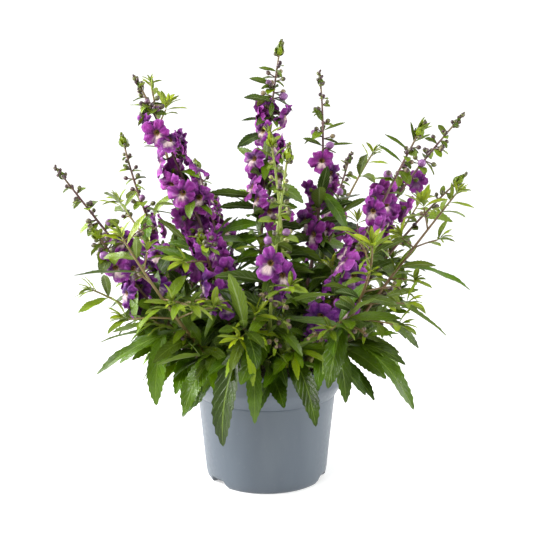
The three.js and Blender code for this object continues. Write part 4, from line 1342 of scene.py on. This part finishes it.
# A side twig: a thin stalk that carries a pair of small leaves and a rosette, or a few buds
def addTwig(bm, stem, t, end, tint, budded, tone=0.0):
    form = twigForm
    foot = curvePlace(stem, t)["point"]
    direction = (end - foot).normalized()
    take(end, stem["node"])
    one, other = squareTo(direction)
    addStalk(bm, foot, end, form["sag"] * (end - foot).length, form["radius"], tint, 0.7)
    age = between(*form["age"])
    if budded:
        for i in range(form["buds"]):
            spread = swing(one, other, i * nextInRosette)
            start = foot.lerp(end, form["budsFrom"] + form["budsStep"] * i)
            addBud(bm, start, (direction + spread * 0.9).normalized(), 4.2 - 0.9 * i, 0.95 - 0.12 * i, tint,
                   0, between(-1, 1) + tone)
            addSmallLeaf(bm, start, direction * 0.7 + spread, between(*form["bracts"]), 0.16, 0.4)
        return
    for half in (0, 180):
        spread = swing(one, other, half * degree)
        base = foot.lerp(end, form["pairAt"])
        addSmallLeaf(bm, base, direction * 0.6 + spread, between(*form["pair"]), 0.14, age * 0.7)
    addRosette(bm, end, (direction + upwards * 0.4).normalized(), between(*form["rosette"]), age)


# A rosette: narrow young leaves, the outer ones long and spread, the inner ones short and steep
def addRosette(bm, base, direction, longest, age, steep=0.35, slim=0.155):
    one, other = squareTo(direction)
    for i in range(8):
        spread = swing(one, other, i * nextInRosette)
        along = direction * (steep + 0.35 * i) + spread + upwards * 0.2
        length = longest * (1 - 0.07 * i) * between(0.85, 1.15)
        addSmallLeaf(bm, base + direction * (0.5 * i), along, length, slim, min(1, age + 0.05 * i))


heads = {
    "green": {"length": 11, "bracts": 22, "bract": 8.2, "slim": 0.27, "age": 1, "every": 4, "lean": 58,
              "leanLoss": 46, "shrink": 0.55, "cup": 62, "tone": (-1.6, -0.6)},
    "dark": {"length": 11, "bracts": 20, "bract": 5.4, "slim": 0.27, "age": 0.4, "every": 2, "lean": 58,
             "leanLoss": 46, "shrink": 0.55, "cup": 62, "tone": (-0.4, 0.6)},
}


# More buds between the solids' own, each over a bract
def addMoreBuds(bm, stem, start, tint, count):
    turn = between(0, 360)
    for i in range(count):
        t = start + (0.92 - start) * (i + 0.5) / count
        place = curvePlace(stem, t)
        turn += nextTurn
        share = (t - start) / (1 - start)
        direction = outward(place, turn) * (0.95 - 0.3 * share) + place["along"] * (0.2 + 0.4 * share)
        direction.normalize()
        if not isFree(place["point"] + direction * 7, stem["node"], 2.0):
            continue
        addBud(bm, place["point"], direction, 6.5 * (1 - 0.7 * share), 0.95 - 0.3 * share, tint, 0.0,
               between(-1, 1) - 1.5 * (stem["tint"] == 1))
        length = (15 - 9 * share) * between(0.7, 1.1)
        addSmallLeaf(bm, place["point"], direction - upwards * 0.45, length, 0.26, 0.3)


# The closed head of a raceme: bracts that overlap and cup inwards over tiny buds
def addHead(bm, stem, age):
    head = heads["dark" if "dark" in stem else "green"]
    turn = between(0, 360)
    for i in range(head["bracts"]):
        share = i / (head["bracts"] - 1)
        place = curvePlace(stem, 1 - (head["length"] * (1 - share) + 1.5) / stemLength(stem))
        turn += nextTurn
        lean = (head["lean"] - head["leanLoss"] * share) * degree
        along = swing(place["along"], outward(place, turn), lean)
        length = head["bract"] * (1 - head["shrink"] * share)
        lie = lieTowards(place["point"], along, place["along"], head["cup"], length)
        laid = {"lie": lie, "half": length * head["slim"], "roll": 0, "tone": between(-1, 1),
                "age": age * head["age"] * between(0.8, 1.1)}
        addLeaf(bm, laid, smallBlade, smallRows, 0)
        if i % head["every"] == 0:
            addBud(bm, place["point"], along, 1.8, 0.7 - 0.28 * share, 0, 0.0, between(*head["tone"]))


def addSmallLeaf(bm, base, along, length, slim, age):
    lie = leafLie(base, along.normalized(), between(15, 50), length)
    laid = {"lie": lie, "half": length * slim, "roll": between(-50, 50), "age": age, "tone": between(-1, 1)}
    addLeaf(bm, laid, smallBlade, smallRows, 0.08, 0.3)


# The plant, stem by stem
greens = [leafUpper, leafUnder, stemSkin, budSkin]
immature = ("shoot_07",)  # its buds are green still
# Twigs set one by one, by their stem: how far up it, where they end and whether they carry buds
placedTwigs = {
    "raceme_09": [(0.46, (15, -94, 162), False), (0.48, (0, -88, 155), True), (0.44, (12, -90, 150), True),
        (0.38, (15, -86, 136), True), (0.3, (7, -84, 122), True)],
    "shoot_04": [(0.55, (93, -80, 149), False), (0.46, (88, -80, 134), False),
        (0.46, (42, -95, 134), False), (0.42, (66, -85, 130), True), (0.64, (89, -64, 158), True),
        (0.38, (30, -88, 128), True)],
    "shoot_01": [(0.5, (-93, -80, 138), False), (0.62, (-50, -95, 150), False),
        (0.5, (-35, -95, 149), False), (0.56, (-41, -84, 153), True)],
    "raceme_10": [(0.8, (-54, -75, 176), False)],
    "shoot_02": [(0.56, (102, -60, 161), False), (0.72, (98, -30, 188), False)],
    "raceme_14": [(0.85, (-83, -44, 198), True)],
}
twigs = {
    "raceme": {"count": 6, "from": 0.22, "to": 0.62, "budded": 0.45, "buddedRoom": 2.6, "leafyRoom": 5},
    "shoot": {"count": 5, "from": 0.3, "to": 0.88, "budded": 0.45, "buddedRoom": 2.6, "leafyRoom": 5},
    "skirt": {"count": 4, "from": 0.4, "to": 0.95, "budded": 0.3, "buddedRoom": 2.6, "leafyRoom": 5},
}
growth = {
    "stalkSag": 1.2, "stalkRadius": 0.62, "bract": (22, 32), "bractLoss": 13, "openingTo": 0.3, "swell": 0.45,
    "lilac": 1.3, "mostLilac": 0.85, "budBract": 16, "budBractLoss": 9, "moreBuds": 8, "immatureBuds": 14,
    "wave": (0.04, 0.2), "twig": (8, 26), "twigRise": (30, 60),
}
for number, stem in enumerate(stems):
    bm = startPiece()
    startRun(number, "growth")
    tint = stem["tint"]

    def path(t):
        place = curvePlace(stem, t)
        return place["point"], place["side"], place["front"]

    addTube(bm, stemTube, path, stemRadius, tint=tint, rise=lambda spot: spot.z)
    for laid in stem["laid"]:
        laid["tone"] = between(-1, 1)
        addLeaf(bm, laid, blade, bladeRows, between(*growth["wave"]), draw())
    for bloom in stem["open"]:
        calyx = sepals["bloom"]
        back = bloomPoint(bloom, 0, 0, calyx["behind"])
        addStalk(bm, bloom["root"], back, growth["stalkSag"], growth["stalkRadius"], tint, 0.6)
        addSepals(bm, calyx, back, bloom["facing"], calyx["length"] * bloom["size"], calyx["half"])
        share = (bloom["t"] - stem["blooms"][0]) / (stem["blooms"][1] - stem["blooms"][0])
        length = between(*growth["bract"]) - growth["bractLoss"] * share
        side = bloom["right"] * between(0.35, 0.9)
        for lean in (side, -side, side * 1.8, -side * 1.8):
            along = (bloom["out"] * 0.8 - bloom["along"] * 0.3 + lean).normalized()
            if isFree(bloom["root"] + along * length, stem["node"], 2.0):
                addSmallLeaf(bm, bloom["root"], along, length, 0.16, 0.12)
                break
    for bud in stem["shut"]:
        opening = max(0, 1 - bud["share"] / growth["openingTo"]) if stem["open"] else 0
        size = bud["size"] * (1 + growth["swell"] * opening)
        lilac = min(growth["mostLilac"], growth["lilac"] * opening)
        tone = between(-1, 1) if bud["share"] < 0.8 else -1
        addBud(bm, bud["base"], bud["direction"], bud["stalk"], size, tint, lilac, tone)
        if bud["share"] < 0.8:
            length = (growth["budBract"] - growth["budBractLoss"] * bud["share"]) * between(0.8, 1.2)
            along = bud["direction"] - upwards * 0.4
            addSmallLeaf(bm, bud["base"], along, length, 0.26, 0.3 + 0.3 * bud["share"])
    if "buds" in stem:
        addMoreBuds(bm, stem, stem["buds"][0], tint, growth["moreBuds"])
        addHead(bm, stem, between(0.4, 0.75))
    if "leafy" in stem:
        place = curvePlace(stem, 0.95)
        addRosette(bm, place["point"], place["along"], stem["leafy"], 0.7, 1.6, 0.11)
    if stem["node"] in immature:
        addMoreBuds(bm, stem, 0.5, tint, growth["immatureBuds"])
        addHead(bm, stem, 1)
    for t, end, budded in placedTwigs.get(stem["node"], ()):
        addTwig(bm, stem, t, Vector(end), tint, budded, 1.0)
    if stem["kind"] == "shoot":
        place = curvePlace(stem, 0.99)
        addRosette(bm, place["point"], place["along"], 0.66 * stem["tuft"], 0.95)
    few = twigs[stem["kind"]]
    turn = between(0, 360)
    for i in range(few["count"]):
        turn += nextTurn
        t = few["from"] + (few["to"] - few["from"]) * (i + draw()) / few["count"]
        place = curvePlace(stem, t)
        rise = between(*growth["twigRise"]) * degree
        away = swing(outward(place, turn), place["along"], rise) + upwards * 0.3
        end = place["point"] + away.normalized() * (between(*growth["twig"]) * (1.15 - 0.5 * t))
        budded = draw() < few["budded"]
        room = few["buddedRoom" if budded else "leafyRoom"]
        if t < stem.get("bare", 1) and isFree(end, stem["node"], room) and isClearOfPot(end):
            addTwig(bm, stem, t, end, tint, budded)
    addPiece(stem["node"] + "_grown", bm, greens, [stem["node"]])
    if stem["open"]:
        bm = startPiece()
        startRun(number, "petals")
        for bloom in stem["open"]:
            addBloom(bm, bloom, between(-1, 1), between(0, 6))
        addPiece("blooms_" + stem["name"] + "_petals", bm, [petalFace, petalBack],
                 ["blooms_" + stem["name"]])
print("plant grown")


# Pot: a turned shell with a flared collar and a rounded foot, then three drain notches
pot = {
    "height": 92, "rimRadius": 60, "collarHeight": 26, "collarFlare": 9, "bodyTopRadius": 53.1,
    "bodyFootRadius": 47.2, "cornerHeight": 8, "footRadius": 44, "footWidth": 4.5, "floorHeight": 3,
    "wall": 1.5, "steps": 128,
}
drains = {"count": 3, "firstDegrees": -51.5, "width": 22, "roofWidth": 13, "below": 1, "height": 5.6,
          "inside": 5, "depth": 12}


def turned(profile, steps):
    bm = bmesh.new()
    spun(bm, [(radius * mm, 0, z * mm) for radius, z in profile], steps, 1e-6)
    for face in bm.faces:
        face.smooth = True
    return bm


collarFoot = pot["height"] - pot["collarHeight"]
collarTop = collarFoot + pot["collarFlare"]
wall, high, floor, foot = pot["wall"], pot["height"], pot["floorHeight"], pot["footRadius"]
rim, body, heel = pot["rimRadius"], pot["bodyTopRadius"], pot["bodyFootRadius"]
inner = foot - pot["footWidth"]
profile = [
    (0, floor), (inner - 1.2, floor), (inner - 0.3, floor - 0.5), (inner, 0.3), (inner + 0.4, 0),
    (foot - 0.2, 0), (foot + 0.7, 0.35), (heel - 1.0, 2.6), (heel - 0.45, 5), (heel, pot["cornerHeight"]),
    (heel + (body - heel) * 0.5, (pot["cornerHeight"] + collarFoot) / 2),
    (body - 0.1, collarFoot - 1.4), (body - 0.1, collarFoot - 0.6), (body - 0.35, collarFoot - 0.2),
    (body + 0.2, collarFoot + 0.3), (body + 0.9, collarFoot + 0.9),
    (rim - 1.6, collarTop - 0.4), (rim - 0.5, collarTop + 1.2), (rim - 0.1, collarTop + 2.6),
    (rim - 0.15, high - 2.2), (rim, high - 1.8), (rim, high - 0.4),
    (rim - 0.4, high), (rim - wall + 0.3, high), (rim - wall, high - 0.4),
    (rim - wall, collarTop + 2.4), (body - wall, collarFoot + 0.7),
    (heel - wall, pot["cornerHeight"]), (foot - 0.6, floor + wall), (0, floor + wall),
]
shell = addPiece("pot_shell", turned(profile, pot["steps"]), [potSkin], ["pot"])

bm = bmesh.new()
half, roof = drains["width"] / 2, drains["roofWidth"] / 2
outline = [(-half, -drains["below"]), (half, -drains["below"]), (roof, drains["height"]),
           (-roof, drains["height"])]
near = pot["footRadius"] - drains["inside"]
section = bm.faces.new([bm.verts.new((x * mm, -near * mm, z * mm)) for x, z in outline])
pushed = bmesh.ops.extrude_face_region(bm, geom=[section])["geom"]
bmesh.ops.translate(bm, vec=(0, -drains["depth"] * mm, 0), verts=vertsOf(pushed))
bmesh.ops.recalc_face_normals(bm, faces=bm.faces[:])
first = bm.verts[:] + bm.edges[:] + bm.faces[:]
turn = Matrix.Rotation(drains["firstDegrees"] * degree, 3, "Z")
bmesh.ops.rotate(bm, cent=(0, 0, 0), verts=bm.verts[:], matrix=turn)
for i in range(1, drains["count"]):
    copied = bmesh.ops.duplicate(bm, geom=first)["geom"]
    turn = Matrix.Rotation(i * 360 / drains["count"] * degree, 3, "Z")
    bmesh.ops.rotate(bm, cent=(0, 0, 0), verts=vertsOf(copied), matrix=turn)
cutter = addObject("drainCutter", meshFrom("drainCutter", bm))
cut = shell.modifiers.new("drains", "BOOLEAN")
cut.operation = "DIFFERENCE"
cut.solver = "EXACT"
cut.object = cutter
bpy.context.view_layer.update()
notched = bpy.data.meshes.new_from_object(shell.evaluated_get(bpy.context.evaluated_depsgraph_get()))
shell.modifiers.clear()
shell.data = notched
bpy.data.objects.remove(cutter)
print("pot cut")


# Soil: a plug as deep as the pot with a crumbly, slightly domed top
soilForm = {
    "side": [(0, 5.7), (42.4, 5.7), (44.5, 9), (50.8, 66), (51.8, 68), (56.2, 75), (57.4, 78.4), (52, 79.4),
             (45.1, 80)],
    "crumblyFrom": 78, "clods": (6, 1.1), "crumbs": (2.2, 0.6), "steps": 72,
}
bm = turned(soilForm["side"] + [(radius, soil["top"]) for radius in range(40, -1, -5)], soilForm["steps"])
for vert in bm.verts:
    if vert.co.z > soilForm["crumblyFrom"] * mm:
        lumps = (soilForm["clods"], soilForm["crumbs"])
        vert.co.z += sum(noise.noise(vert.co / (wide * mm)) * high for wide, high in lumps) * mm
addPiece("soil_crumbs", bm, [peat], ["soil"])

size = {"cad": [list(side) for side in cadBox], "visual": [list(side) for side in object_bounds()]}
print("size", size)
